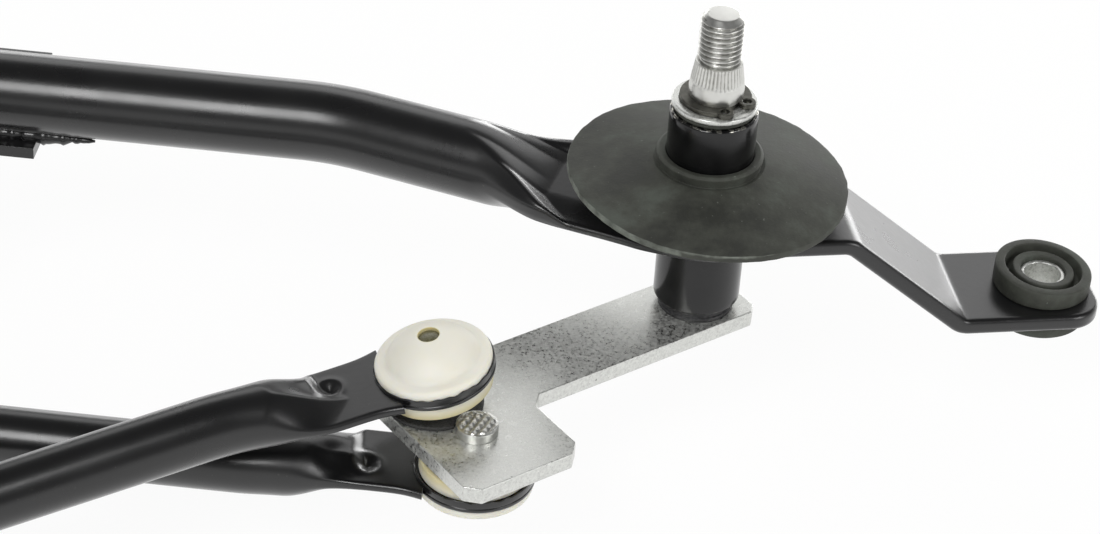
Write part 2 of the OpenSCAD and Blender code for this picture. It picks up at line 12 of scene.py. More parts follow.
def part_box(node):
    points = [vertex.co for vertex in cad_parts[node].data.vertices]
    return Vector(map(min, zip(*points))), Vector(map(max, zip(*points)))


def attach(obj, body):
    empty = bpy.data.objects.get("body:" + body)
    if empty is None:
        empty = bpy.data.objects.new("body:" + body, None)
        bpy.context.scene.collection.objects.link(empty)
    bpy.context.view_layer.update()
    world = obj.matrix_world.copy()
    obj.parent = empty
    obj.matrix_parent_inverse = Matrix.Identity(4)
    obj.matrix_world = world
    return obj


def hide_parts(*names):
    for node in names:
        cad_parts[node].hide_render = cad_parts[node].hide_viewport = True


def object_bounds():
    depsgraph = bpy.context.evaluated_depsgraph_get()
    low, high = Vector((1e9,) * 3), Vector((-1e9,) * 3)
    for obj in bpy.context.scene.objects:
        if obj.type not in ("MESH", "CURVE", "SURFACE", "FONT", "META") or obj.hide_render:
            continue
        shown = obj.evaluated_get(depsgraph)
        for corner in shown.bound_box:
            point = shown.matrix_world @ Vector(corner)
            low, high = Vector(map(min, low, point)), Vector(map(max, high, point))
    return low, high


bl_info = {
    "name": "Wiper linkage",
    "version": (1, 0, 0),
    "blender": (4, 5, 0),
    "location": "View3D > Sidebar > Linkage",
    "description": "Builds the dressed pieces of a wiper linkage on its packed solids",
    "category": "Object",
}

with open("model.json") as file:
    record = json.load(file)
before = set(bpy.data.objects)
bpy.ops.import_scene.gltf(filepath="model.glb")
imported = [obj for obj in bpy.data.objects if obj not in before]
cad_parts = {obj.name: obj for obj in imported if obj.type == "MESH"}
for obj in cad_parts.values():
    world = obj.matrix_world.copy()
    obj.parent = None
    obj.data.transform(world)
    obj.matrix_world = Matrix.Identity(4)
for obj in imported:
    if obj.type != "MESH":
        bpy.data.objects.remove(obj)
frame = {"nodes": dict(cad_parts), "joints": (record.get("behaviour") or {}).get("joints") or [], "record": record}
CAD_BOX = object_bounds()
MM = 0.001

# ---- Measures read from the solids, in millimetres

JOINTS = {joint["name"]: joint for joint in frame["joints"]}
MOUNTS = {mount["name"]: mount for mount in frame["record"]["mounts"]}


def span(node):
    """Lowest and highest corner of a solid."""
    low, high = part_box(node)
    return np.array(low) / MM, np.array(high) / MM


def radius(node):
    """Outside radius of an upright round solid."""
    low, high = span(node)
    return (high[0] - low[0]) / 2


def heights(node):
    """Lowest and highest point of a solid."""
    low, high = span(node)
    return low[2], high[2]


def joint_at(name):
    return np.array(JOINTS[name]["pos_m"]) / MM


UP = np.array((0.0, 0.0, 1.0))
SPACING = -joint_at("driven_sweep")[0]
DRIVE_BALL = joint_at("drive_swing")
RIGHT_BALL = joint_at("connecting_swing")
MOTOR_BALL = np.array(MOUNTS["motor_ball"]["pos_m"]) / MM
FOOT_HOLE = np.array(MOUNTS["right_foot"]["pos_m"]) / MM
FOOT_ANGLE = math.atan2(FOOT_HOLE[1], FOOT_HOLE[0])
HOUSING_FOOT, HOUSING_TOP = heights("right_housing")
LEVER_UNDER, LEVER_TOP = heights("drive_lever")
LEVER_T = LEVER_TOP - LEVER_UNDER

# The frame tube's route, as the solids have it
TUBE_R = 9.5
TUBE_Z = HOUSING_TOP - 30.0
FLAT_HALF = 2.0
FLAT_HALF_W = 14.35
FLAT_AT = 31.0
ROUND_AT = 52.0
RUN_OFFSET = 25.0
LEG_ANGLE = math.radians(15.7)
BEND_R = 60.0
PIVOT_BEND_R = 12.0
FOLD_UPPER = 32.0
FOLD_LOWER = 61.0
FOLD_R = 5.0
FOOT_MARGIN = 11.9
FOOT_HOLE_R = 8.5
PAD_CORNER_R = 8.0
TIP_R = 0.8

# Where the press ends on top of the tube, by the place across it: flat up to here, round from there
PRESS_ACROSS = (-14, -10, -7.5, -4, 3, 8, 14)
PRESS_FLAT_TO = (34, 34, 35, 36, 36, 36, 28)
PRESS_ROUND_FROM = (48, 50, 54, 60, 59, 51, 36)

# The links, ball joints and spindles
LINK_R = 7.0
EYE_HALF = 1.1
EYE_R = 13.5
NECK_HALF_W = 9.9
NECK_FLAT_AT = 20.4
NECK_ROUND_AT = 48.0
WAIST_R = 11.2
BALL_R = 8.0
SHAFT_R = 6.0
RIVET_R = 4.7
THREAD_R = 5.0
RUN_GAP = 0.06

# Faces larger than this are shaded flat
LARGE_FACE = 12 * MM**2


# ---- Sizes and colours that a user would change


def linear(code):
    """A hex sRGB colour as linear RGB."""
    parts = [int(code[i : i + 2], 16) / 255 for i in (1, 3, 5)]
    return [c / 12.92 if c <= 0.04045 else ((c + 0.055) / 1.055) ** 2.4 for c in parts]


def length(name, description, size):
    return bpy.props.FloatProperty(
        name=name, description=description, default=size * MM, min=0.0, precision=5, subtype="DISTANCE", unit="LENGTH"
    )


def degrees(name, description, size):
    return bpy.props.FloatProperty(name=name, description=description, default=math.radians(size), subtype="ANGLE")


def colour(name, description, code):
    return bpy.props.FloatVectorProperty(
        name=name, description=description, default=linear(code), size=3, min=0.0, max=1.0, subtype="COLOR"
    )


class LinkageSizes(bpy.types.PropertyGroup):
    """Sizes of the details that the solids leave plain."""

    thread_pitch: length("Thread pitch", "Rise of the spindle thread in one turn", 1.25)
    thread_depth: length("Thread depth", "Depth of the spindle thread", 0.62)
    knurl_depth: length("Knurl depth", "Depth of the knurls on the spindle's taper", 0.3)
    knurl_teeth: bpy.props.IntProperty(name="Knurls", description="Knurls round the taper", default=40, min=12)
    plate_edge: length("Plate edge", "Rounding of the levers' sheared edges", 0.35)
    rivet_pitch: length("Rivet pattern", "Spacing of the pyramids pressed into the rivet heads", 1.75)
    disc_tilt: degrees("Disc tilt", "Lean of the rain disc on its housing", 3)
    grommet_tilt: degrees("Grommet tilt", "Lean of the grommet's top", 4)
    dimple_depth: length("Neck dimple", "Depth of the staking dimple in a link's neck", 1.5)
    bead_r: length("Weld bead", "Radius of the weld beads", 1.7)
    rail_height: length("Rail", "Height of the ridge along the pressed tube's back edge", 1.4)
    flat_lean: degrees("Flat lean", "Forward lean of the pressed tube's flat", 8)


class LinkageColours(bpy.types.PropertyGroup):
    """Colours of the finishes."""

    enamel: colour("Stove enamel", "Frame tube, bracket and links", "#0d0d0e")
    gloss_enamel: colour("Gloss enamel", "Spindle housings", "#060607")
    bare_steel: colour("Bare steel", "Steel where the enamel is rubbed off", "#a5a39c")
    rubber: colour("Rubber", "Rain discs, grommets and seals", "#393b34")
    zinc: colour("Zinc plate", "Levers, washers and sleeves", "#dfe0dc")
    bright_steel: colour("Bright steel", "Spindles and ball studs", "#dadad6")
    spring_steel: colour("Spring steel", "Circlips", "#62615b")
    nylon: colour("Nylon", "Ball sockets", "#e3e1d7")
    acetal: colour("Acetal", "Thrust rings", "#1b1b1d")
    felt: colour("Felt", "Dust rings", "#161613")
    bronze: colour("Bronze", "Bushes", "#8d6b3a")
    grease: colour("Grease", "Grease in the sockets' holes", "#5d5a3c")
    ground: colour("Ground", "Floor and backdrop", "#f4f4f2")


def sizes():
    return bpy.context.scene.linkage_sizes


def colours():
    return bpy.context.scene.linkage_colours


# ---- Mesh helpers: every part is (points in millimetres, faces)


def rounded(corners, steps=4, closed=True):
    """Corners (x, y, ..., radius) joined by lines, each corner turned into a short arc."""
    points = [np.array(corner[:-1], float) for corner in corners]
    out = []
    for i, corner in enumerate(corners):
        r, here = corner[-1], points[i]
        if r <= 0 or not closed and i in (0, len(corners) - 1):
            out.append(here)
            continue
        back, ahead = points[i - 1] - here, points[(i + 1) % len(points)] - here
        len_back, len_ahead = np.linalg.norm(back), np.linalg.norm(ahead)
        back, ahead = back / len_back, ahead / len_ahead
        half = math.acos(np.clip(back @ ahead, -1, 1)) / 2
        if half > math.pi / 2 - 1e-4:
            out.append(here)
            continue
        cut = min(r / math.tan(half), 0.49 * len_back, 0.49 * len_ahead)
        middle = (back + ahead) / np.linalg.norm(back + ahead)
        centre = here + middle * cut / math.cos(half)
        a, b = here + back * cut - centre, here + ahead * cut - centre
        turn = math.pi - 2 * half
        for k in range(steps + 1):
            t = k / steps
            out.append(centre + (math.sin((1 - t) * turn) * a + math.sin(t * turn) * b) / math.sin(turn))
    return np.array(out)


def dense(line, step, closed=True):
    """The same line with no piece longer than step."""
    out = []
    for i in range(len(line) - (0 if closed else 1)):
        a, b = line[i], line[(i + 1) % len(line)]
        pieces = max(1, math.ceil(np.linalg.norm(b - a) / step))
        out += [a + (b - a) * k / pieces for k in range(pieces)]
    if not closed:
        out.append(line[-1])
    return np.array(out)


def skin(rings, looped=False):
    """Rings of equally many points joined into one closed skin."""
    rings = np.asarray(rings, float)
    m, n, _ = rings.shape
    i = np.arange(m if looped else m - 1)[:, None]
    j = np.arange(n)[None, :]
    here, there = i * n, (i + 1) % m * n
    faces = np.stack([here + j, here + (j + 1) % n, there + (j + 1) % n, there + j], -1).reshape(-1, 4).tolist()
    if not looped:
        faces += [list(range(n))[::-1], [(m - 1) * n + k for k in range(n)]]
    return rings.reshape(-1, 3), faces


def turned(profile, steps=128):
    """A profile of (radius, height) points turned about the upright axis."""
    angles = np.linspace(0, 2 * math.pi, steps, endpoint=False)[:, None]
    r, z = profile[:, 0][None, :], profile[:, 1][None, :]
    return skin(np.stack([r * np.cos(angles), r * np.sin(angles), z + 0 * angles], -1), looped=True)


def section(half_w, half_h, corner_r, count=96):
    """A rounded rectangle's points, evenly spaced, from the middle of its side."""
    a, c = max(half_w - corner_r, 0.0), max(half_h - corner_r, 0.0)
    arc = np.linspace(0, math.pi / 2, 25)
    quarter = np.stack([np.cos(arc), np.sin(arc)], -1) * corner_r
    pieces = [np.array([[half_w, 0.0]])]
    for sx, sy, flip in ((1, 1, False), (-1, 1, True), (-1, -1, False), (1, -1, True)):
        corner = quarter * (sx, sy) + (sx * a, sy * c)
        pieces.append(corner[::-1] if flip else corner)
    loop = np.concatenate(pieces + [np.array([[half_w, 0.0]])])
    along = np.concatenate([[0], np.cumsum(np.linalg.norm(np.diff(loop, axis=0), axis=1))])
    at = np.linspace(0, along[-1], count, endpoint=False)
    return np.stack([np.interp(at, along, loop[:, 0]), np.interp(at, along, loop[:, 1])], -1)


def placed(part, origin, x_axis=(1, 0, 0), up=UP):
    """A part moved from its own axes to origin, x_axis and up."""
    points, faces = part
    x_axis, up = np.array(x_axis, float), np.array(up, float)
    across = np.cross(up, x_axis)
    return np.asarray(origin) + points[:, :1] * x_axis + points[:, 1:2] * across + points[:, 2:3] * up, faces


def same(part):
    return part


def shifted_left(part):
    return part[0] - (SPACING, 0, 0), part[1]


def mirrored_left(part):
    return part[0] * (-1, 1, 1) - (SPACING, 0, 0), [face[::-1] for face in part[1]]


def hung(part):
    """A part turned over, for a joint that hangs under its lever."""
    return part[0] * (1, -1, -1), part[1]


# How a right-hand part comes to each side: the frame's halves are mirrored, the spindles are alike
FRAME_SIDES = (("right", same), ("left", mirrored_left))
SPINDLE_SIDES = (("right", same), ("left", shifted_left))


def smooth(t):
    t = np.clip(t, 0, 1)
    return t * t * (3 - 2 * t)


def bump(x, width):
    return np.exp(-((x / width) ** 2))


def ragged(angle, seed, low, high):
    """A wavy edge from a few sine waves, the same each time."""
    rng = np.random.default_rng(seed)
    waves = [(k, rng.uniform(-1, 1), rng.uniform(0, 2 * math.pi)) for k in range(low, high)]
    return sum(a * np.sin(k * angle + p) for k, a, p in waves) / math.sqrt(len(waves))


def joined(name, parts):
    """Several parts as one mesh, in metres."""
    points, faces, start = [], [], 0
    for part_points, part_faces in parts:
        points.append(part_points)
        faces += [[start + k for k in face] for face in part_faces]
        start += len(part_points)
    mesh = bpy.data.meshes.new(name)
    mesh.from_pydata((np.concatenate(points) * MM).tolist(), [], faces)
    return mesh


def piece(name, parts, finish, body, stands_for, sharp=40, tone=None):
    """Makes one object from parts, gives it its finish and shading, hangs it on its body and hides the solid it stands
    for.
    """
    mesh = joined(name, parts)
    if tone is not None:
        mesh.attributes.new("tone", "FLOAT", "POINT").data.foreach_set("value", np.asarray(tone, np.float32))
    bm = bmesh.new()
    bm.from_mesh(mesh)
    bmesh.ops.remove_doubles(bm, verts=bm.verts, dist=1e-7)
    bmesh.ops.recalc_face_normals(bm, faces=bm.faces)
    bm.to_mesh(mesh)
    bm.free()
    return hand_over(bpy.data.objects.new(name, mesh), finish, body, stands_for, sharp)


def cover(node, parts, finish, body, sharp=40, tone=None):
    """Makes the piece that stands for a solid."""
    return piece(f"{node}_skin", parts, finish, body, node, sharp, tone)


def hand_over(item, finish, body, stands_for, sharp=40):
    """Gives an object its finish and shading, hangs it on its body and hides the solid it stands for."""
    mesh = item.data
    mesh.materials.clear()
    mesh.materials.append(finish)
    mesh.shade_smooth()
    mesh.set_sharp_from_angle(angle=math.radians(sharp))
    for face in mesh.polygons:
        face.use_smooth = face.area < LARGE_FACE
    if item.name not in bpy.context.scene.collection.objects:
        bpy.context.scene.collection.objects.link(item)
    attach(item, body)
    if stands_for:
        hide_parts(stands_for)
    return item


def settled(item):
    """Turns an object's modifiers into its mesh."""
    graph = bpy.context.evaluated_depsgraph_get()
    mesh = bpy.data.meshes.new_from_object(item.evaluated_get(graph))
    item.modifiers.clear()
    item.data = mesh
    return item


def cut(item, cutters):
    """Cuts parts out of an object."""
    tool = bpy.data.objects.new("cutter", joined("cutter", cutters))
    bpy.context.scene.collection.objects.link(tool)
    modifier = item.modifiers.new("cut", "BOOLEAN")
    modifier.operation = "DIFFERENCE"
    modifier.solver = "EXACT"
    modifier.object = tool
    settled(item)
    bpy.data.objects.remove(tool)


def peg(centre, r, half_h, steps=96):
    """A round bar for cutting a hole."""
    angles = np.linspace(0, 2 * math.pi, steps, endpoint=False)
    loop = np.stack([r * np.cos(angles), r * np.sin(angles), 0 * angles], -1) + centre
    return skin([loop - UP * half_h, loop + UP * half_h])


def edged(node, width, finish, body, sharp=40):
    """Makes a copy of a flat solid with its sharp edges rounded, which stands for the solid."""
    item = bpy.data.objects.new(f"{node}_skin", frame["nodes"][node].data.copy())
    bpy.context.scene.collection.objects.link(item)
    bm = bmesh.new()
    bm.from_mesh(item.data)
    bmesh.ops.remove_doubles(bm, verts=bm.verts, dist=1e-6)
    bmesh.ops.dissolve_limit(bm, angle_limit=math.radians(2), verts=bm.verts, edges=bm.edges)
    bm.to_mesh(item.data)
    bm.free()
    modifier = item.modifiers.new("edges", "BEVEL")
    modifier.width = width
    modifier.segments = 3
    modifier.limit_method = "ANGLE"
    modifier.angle_limit = math.radians(40)
    return hand_over(settled(item), finish, body, node, sharp)


# ---- Finishes


def add(tree, kind, inputs=None, **settings):
    """Adds a shader node; an input is a value, the socket that feeds it, or a node for that node's first output."""
    node = tree.nodes.new("ShaderNode" + kind)
    for key, value in settings.items():
        setattr(node, key, value)
    for key, value in (inputs or {}).items():
        if isinstance(value, bpy.types.Node):
            value = value.outputs[0]
        if isinstance(value, bpy.types.NodeSocket):
            tree.links.new(value, node.inputs[key])
        else:
            node.inputs[key].default_value = value
    return node


def made_once(**grains):
    """Turns a function into a finish of its own name; the function gets a node tree and returns the shader.

    Each grain is (size in millimetres, detail, roughness) of a noise node that the function also gets.
    """

    def wrap(build):
        def finish():
            found = bpy.data.materials.get(build.__name__)
            if found:
                return found
            made = bpy.data.materials.new(build.__name__)
            made.use_nodes = True
            tree = made.node_tree
            tree.nodes.clear()
            noise = {"Vector": add(tree, "TexCoord").outputs["Object"]}
            layers = {}
            for layer, (size, detail, rough) in grains.items():
                noise.update({"Scale": 1 / (size * MM), "Detail": detail, "Roughness": rough})
                layers[layer] = add(tree, "TexNoise", noise)
            add(tree, "OutputMaterial", {"Surface": build(tree, **layers)})
            return made

        return finish

    return wrap


def stops(ramp, *pairs):
    """Sets a colour ramp's stops from (position, colour) pairs; a single number is a grey."""
    elements = ramp.color_ramp.elements
    while len(elements) < len(pairs):
        elements.new(1.0)
    for element, (position, value) in zip(elements, pairs):
        element.position = position
        element.color = (value, value, value, 1.0) if isinstance(value, float) else (*value, 1.0)
    return ramp


def mixed(a, b, share):
    return [x + (y - x) * share for x, y in zip(a, b)]


@made_once(cloud=(14, 3.0, 0.5), specks=(0.9, 2.0, 0.5), peel=(1.6, 2.0, 0.5))
def stove_enamel(tree, cloud, specks, peel):
    # Black stove enamel on drawn steel tube: satin, faintly peeled, with a film of dust that pales its edges
    base = list(colours().enamel)
    dusty = mixed(base, linear("#6f6d66"), 0.25)
    return add(tree, "BsdfPrincipled", {
        "Base Color": stops(add(tree, "ValToRGB", {"Fac": specks}), (0.72, base), (0.82, dusty)),
        "Roughness": stops(add(tree, "ValToRGB", {"Fac": cloud}), (0.3, 0.25), (0.75, 0.36)),
        "Normal": add(tree, "Bump", {"Height": peel, "Strength": 0.10, "Distance": 0.2 * MM}),
        "IOR": 1.5, "Coat Weight": 0.5, "Coat Roughness": 0.22, "Sheen Weight": 0.25, "Sheen Roughness": 0.3,
    })


@made_once(chips=(1.4, 6.0, 0.5), cloud=(6, 4.0, 0.5))
def gloss_enamel(tree, chips, cloud):
    # Glossy black enamel on a turned housing, rubbed through to steel along its rims
    base = list(colours().gloss_enamel)
    tone = add(tree, "Attribute", attribute_name="tone").outputs["Fac"]
    lift = add(tree, "Math", {0: tone, 1: chips}, operation="MULTIPLY")
    worn = stops(add(tree, "ValToRGB", {"Fac": lift}), (0.50, 0.0), (0.55, 1.0))
    paint = stops(add(tree, "ValToRGB", {"Fac": cloud}), (0.4, base), (0.8, mixed(base, linear("#3c3c3a"), 0.12)))
    body = add(tree, "Mix", {"Factor": worn, 6: paint, 7: (*colours().bare_steel, 1.0)}, data_type="RGBA")
    return add(tree, "BsdfPrincipled", {
        "Base Color": body.outputs[2], "Metallic": worn, "IOR": 1.5,
        "Roughness": stops(add(tree, "ValToRGB", {"Fac": cloud}), (0.3, 0.14), (0.8, 0.26)),
    })


@made_once(cloud=(13, 7.0, 0.68), specks=(0.8, 3.0, 0.5), grain=(0.8, 4.0, 0.5), ragged_edge=(3, 4.0, 0.5))
def moulded_rubber(tree, cloud, specks, grain, ragged_edge):
    # Moulded black rubber: matt, slightly green-grey, with smears, pale dust in its pores and a rim edge paled in
    # ragged patches, partly rubbed mould flash and partly a painted highlight
    base = list(colours().rubber)
    tone = add(tree, "Attribute", attribute_name="tone").outputs["Fac"]
    tint = stops(
        add(tree, "ValToRGB", {"Fac": cloud}),
        (0.36, mixed(base, (0, 0, 0), 0.45)), (0.50, base), (0.64, mixed(base, linear("#5c645c"), 0.35)),
    )
    dust = stops(add(tree, "ValToRGB", {"Fac": specks}), (0.70, 0.0), (0.80, 0.5))
    # The rim's paling: rubbed mould flash and a painted highlight along the edge
    flash_and_highlight = add(tree, "Math", {0: tone, 1: ragged_edge}, operation="MULTIPLY")
    pale = stops(add(tree, "ValToRGB", {"Fac": flash_and_highlight}), (0.30, 0.0), (0.65, 0.6))
    marks = add(tree, "Math", {0: dust, 1: pale}, operation="MAXIMUM")
    body = add(tree, "Mix", {"Factor": marks, 6: tint, 7: (*linear("#868c83"), 1.0)}, data_type="RGBA")
    return add(tree, "BsdfPrincipled", {
        "Base Color": body.outputs[2], "IOR": 1.52,
        "Roughness": stops(add(tree, "ValToRGB", {"Fac": cloud}), (0.3, 0.60), (0.7, 0.78)),
        "Normal": add(tree, "Bump", {"Height": grain, "Strength": 0.25, "Distance": 0.15 * MM}),
    })


@made_once(mottle=(0.7, 5.0, 0.7), pits=(1.0, 3.0, 0.5))
def zinc_plating(tree, mottle, pits):
    # Zinc plate on sheared sheet: half mirror-like, with a fine mottle of pale zinc bloom and dark pits
    base = list(colours().zinc)
    bloom = stops(add(tree, "ValToRGB", {"Fac": mottle}), (0.36, 0.0), (0.62, 1.0))
    tint = stops(add(tree, "ValToRGB", {"Fac": mottle}), (0.36, mixed(base, (0, 0, 0), 0.22)), (0.62, base))
    dark = stops(add(tree, "ValToRGB", {"Fac": pits}), (0.22, 0.7), (0.27, 0.0))
    body = add(tree, "Mix", {"Factor": dark, 6: tint, 7: (*linear("#3a3b36"), 1.0)}, data_type="RGBA")
    return add(tree, "BsdfPrincipled", {
        "Base Color": body.outputs[2],
        "Metallic": stops(add(tree, "ValToRGB", {"Fac": bloom}), (0.0, 1.0), (1.0, 0.6)),
        "Roughness": stops(add(tree, "ValToRGB", {"Fac": bloom}), (0.0, 0.26), (1.0, 0.42)),
        "Normal": add(tree, "Bump", {"Height": mottle, "Strength": 0.10, "Distance": 0.1 * MM}),
    })


@made_once(cloud=(1.8, 5.0, 0.5))
def plated_steel(tree, cloud):
    # Turned and plated steel: bright, with painted shade darkening the thread roots, knurls and other hollows, broken
    # up by noise
    base = list(colours().bright_steel)
    tone = add(tree, "Attribute", attribute_name="tone").outputs["Fac"]
    # Painted shade: the tone attribute, broken up by noise, darkens the hollows
    painted_shade = add(tree, "Math", {0: tone, 1: cloud}, operation="MULTIPLY")
    body = stops(
        add(tree, "ValToRGB", {"Fac": painted_shade}),
        (0.10, base), (0.35, mixed(base, linear("#6b6a62"), 0.7)), (0.65, linear("#34332e")),
    )
    return add(tree, "BsdfPrincipled", {
        "Base Color": body, "Metallic": 1.0,
        "Roughness": stops(add(tree, "ValToRGB", {"Fac": cloud}), (0.3, 0.28), (0.7, 0.44)),
    })


@made_once(cloud=(1.2, 4.0, 0.5))
def phosphated_steel(tree, cloud):
    # Oiled, phosphated spring steel: dark olive grey with a dull sheen
    base = list(colours().spring_steel)
    body = stops(add(tree, "ValToRGB", {"Fac": cloud}), (0.3, mixed(base, (0, 0, 0), 0.4)), (0.7, base))
    return add(tree, "BsdfPrincipled", {"Base Color": body, "Metallic": 1.0, "Roughness": 0.38})


@made_once(cloud=(8, 3.0, 0.5), grain=(1.4, 2.0, 0.5))
def natural_nylon(tree, cloud, grain):
    # Unpigmented moulded nylon: milky ivory, lit from within, a little yellower at the mouth
    base = list(colours().nylon)
    tone = add(tree, "Attribute", attribute_name="tone").outputs["Fac"]
    milk = stops(add(tree, "ValToRGB", {"Fac": cloud}), (0.3, mixed(base, linear("#d8cfae"), 0.15)), (0.7, base))
    body = add(tree, "Mix", {"Factor": tone, 6: milk, 7: (*linear("#c9bd86"), 1.0)}, data_type="RGBA")
    return add(tree, "BsdfPrincipled", {
        "Base Color": body.outputs[2], "Roughness": 0.48, "IOR": 1.53,
        "Normal": add(tree, "Bump", {"Height": grain, "Strength": 0.05, "Distance": 0.1 * MM}),
        "Subsurface Weight": 0.35, "Subsurface Radius": (1.0, 0.8, 0.45), "Subsurface Scale": 2.0 * MM,
    })


def plain(tree, grain, base, rough, bump_strength, metallic=0.0):
    """The shader of a finish of one colour, clouded and grained."""
    base = list(base)
    shade, tint = mixed(base, (0, 0, 0), 0.35), mixed(base, (1, 1, 1), 0.04)
    return add(tree, "BsdfPrincipled", {
        "Base Color": stops(add(tree, "ValToRGB", {"Fac": grain}), (0.3, shade), (0.7, tint)),
        "Normal": add(tree, "Bump", {"Height": grain, "Strength": bump_strength, "Distance": 0.15 * MM}),
        "Roughness": rough, "Metallic": metallic,
    })


@made_once(grain=(0.8, 4.0, 0.5))
def acetal(tree, grain):
    # Moulded black acetal: smooth and dull, with fine turning dust
    return plain(tree, grain, colours().acetal, 0.42, 0.05)


@made_once(grain=(0.35, 4.0, 0.5))
def greased_felt(tree, grain):
    # Pressed wool felt soaked with grease: almost black, fibrous
    return plain(tree, grain, colours().felt, 0.62, 0.6)


@made_once(grain=(0.3, 4.0, 0.5))
def sintered_bronze(tree, grain):
    # Oil-soaked sintered bronze: brown-gold, with fine pores
    return plain(tree, grain, colours().bronze, 0.45, 0.3, metallic=1.0)


@made_once(grain=(0.7, 4.0, 0.5))
def lithium_grease(tree, grain):
    # A blob of aged grease: olive, wet
    return plain(tree, grain, colours().grease, 0.22, 0.4)


@made_once()
def studio_paper(tree):
    # Matt paper: white for the camera and for reflections, with a share of the lit paper that keeps the shadow
    white_share = 0.92
    paper = add(tree, "BsdfPrincipled", {
        "Base Color": (*colours().ground, 1.0), "Roughness": 0.9, "Specular IOR Level": 0.1,
    })
    path = add(tree, "LightPath").outputs
    seen = add(tree, "Math", {0: path["Is Camera Ray"], 1: path["Is Glossy Ray"]}, operation="MAXIMUM")
    seen = add(tree, "Math", {0: seen, 1: path["Is Transmission Ray"]}, operation="MAXIMUM")
    share = add(tree, "Math", {0: seen, 1: white_share}, operation="MULTIPLY")
    white = add(tree, "Emission", {"Color": (1, 1, 1, 1), "Strength": 1.0})
    return add(tree, "MixShader", {0: share, 1: paper, 2: white})


# ---- Frame tube


def frame_stations(route, pivot_at):
    """Places for rings along the tube: close together where it is pressed or folded."""
    fine, middling, coarse = 0.6, 1.5, 8.0
    out, s = [], 0.0
    while s < route[-1]:
        out.append(s)
        u = s - pivot_at
        if s < PAD_CORNER_R:
            s += 0.25 + 0.12 * s
        elif u < -15 or FLAT_AT - 6 < u < ROUND_AT + 10:
            s += fine
        elif u < 100:
            s += middling
        else:
            s += coarse
    return np.array(out + [route[-1]])


def pressed(u, across):
    """Share of the round tube left on top: the press ends in a point, further along in the middle than at the edges."""
    flat_to = np.interp(across, PRESS_ACROSS, PRESS_FLAT_TO)
    round_from = np.interp(across, PRESS_ACROSS, PRESS_ROUND_FROM)
    t = np.clip((u - flat_to) / (round_from - flat_to), 0, 1)
    return 0.5 * t * (2 - t) + 0.5 * smooth(t)


def rolled_edge(loop, half_w, u):
    """The flat beside the spindle: a ridge along its back edge, a thin front edge, and a lean to the front."""
    starts_over, rail_half, bevel, bevel_depth, thinned = 12, 3.2, 3.0, 2.2, 0.4
    here = float(smooth(u / starts_over))
    from_back = loop[:, 0] + half_w
    ridge = sizes().rail_height / MM * np.clip(1 - ((from_back - rail_half) / rail_half) ** 2, 0, 1)
    ridge = here * (ridge - bevel_depth * np.clip(1 - from_back / bevel, 0, 1) ** 2)
    up = loop[:, 1] * (1 - thinned * here * smooth((loop[:, 0] - 6) / 7)) + ridge * (loop[:, 1] > 0)
    lean = sizes().flat_lean * here
    aside = loop[:, 0] * math.cos(lean) + up * math.sin(lean)
    return np.stack([aside, up * math.cos(lean) - loop[:, 0] * math.sin(lean)], -1)


def quarter_round(s, r):
    """How far a rounded end of radius r is short of full width at s from its tip, as a share of r."""
    return 1 - math.sqrt(max(0.0, 1 - (1 - s / r) ** 2))


def frame_half():
    """Rings from the right foot's tip to the middle of the straight run."""
    out_x, out_y = math.cos(FOOT_ANGLE), math.sin(FOOT_ANGLE)
    pad_z = FOOT_HOLE[2]
    reach = math.hypot(FOOT_HOLE[0], FOOT_HOLE[1]) + FOOT_MARGIN
    bend_x = RUN_OFFSET / math.tan(LEG_ANGLE)
    corners = [
        (reach * out_x, reach * out_y, pad_z, 0),
        (FOLD_LOWER * out_x, FOLD_LOWER * out_y, pad_z, FOLD_R),
        (FOLD_UPPER * out_x, FOLD_UPPER * out_y, TUBE_Z, FOLD_R),
        (0, 0, TUBE_Z, PIVOT_BEND_R),
        (-bend_x, RUN_OFFSET, TUBE_Z, BEND_R),
        (-SPACING / 2, RUN_OFFSET, TUBE_Z, 0),
    ]
    line = dense(rounded(corners, steps=24, closed=False), 1.0, closed=False)
    along = np.concatenate([[0], np.cumsum(np.linalg.norm(np.diff(line, axis=0), axis=1))])
    pivot_at = along[np.argmin(np.linalg.norm(line[:, :2], axis=1))]
    at = frame_stations(along, pivot_at)
    spots = np.stack([np.interp(at, along, line[:, k]) for k in range(3)], -1)
    slope = np.gradient(line, along, axis=0)
    ways = np.stack([np.interp(at, along, slope[:, k]) for k in range(3)], -1)
    count, boss_swell, boss_reach, edge_r = 144, 1.1, 9.0, 1.3
    whole = section(TUBE_R, TUBE_R, TUBE_R, count)
    rings = []
    for s, spot, way in zip(at, spots, ways):
        way = way / np.linalg.norm(way)
        across = np.array((-way[1], way[0], 0)) / math.hypot(way[0], way[1])
        over = np.cross(way, across)
        u = s - pivot_at
        half_h = FLAT_HALF
        half_w = FLAT_HALF_W + boss_swell * float(bump(u, boss_reach))
        if s < PAD_CORNER_R:
            half_w -= PAD_CORNER_R * quarter_round(s, PAD_CORNER_R)
        if s < TIP_R:
            half_h -= 0.78 * quarter_round(s, TIP_R)
        loop = section(half_w, half_h, min(half_h, edge_r), count)
        if u > 0:
            loop = rolled_edge(loop, half_w, u)
        round_share = np.where(whole[:, 1] > -1, pressed(u, loop[:, 0]), smooth((u - 30) / 22))
        aside = loop[:, 0] + (whole[:, 0] - loop[:, 0]) * smooth((u - 35) / 19)
        height = loop[:, 1] + (whole[:, 1] - loop[:, 1]) * round_share
        rings.append(spot + aside[:, None] * across + height[:, None] * over)
    return rings


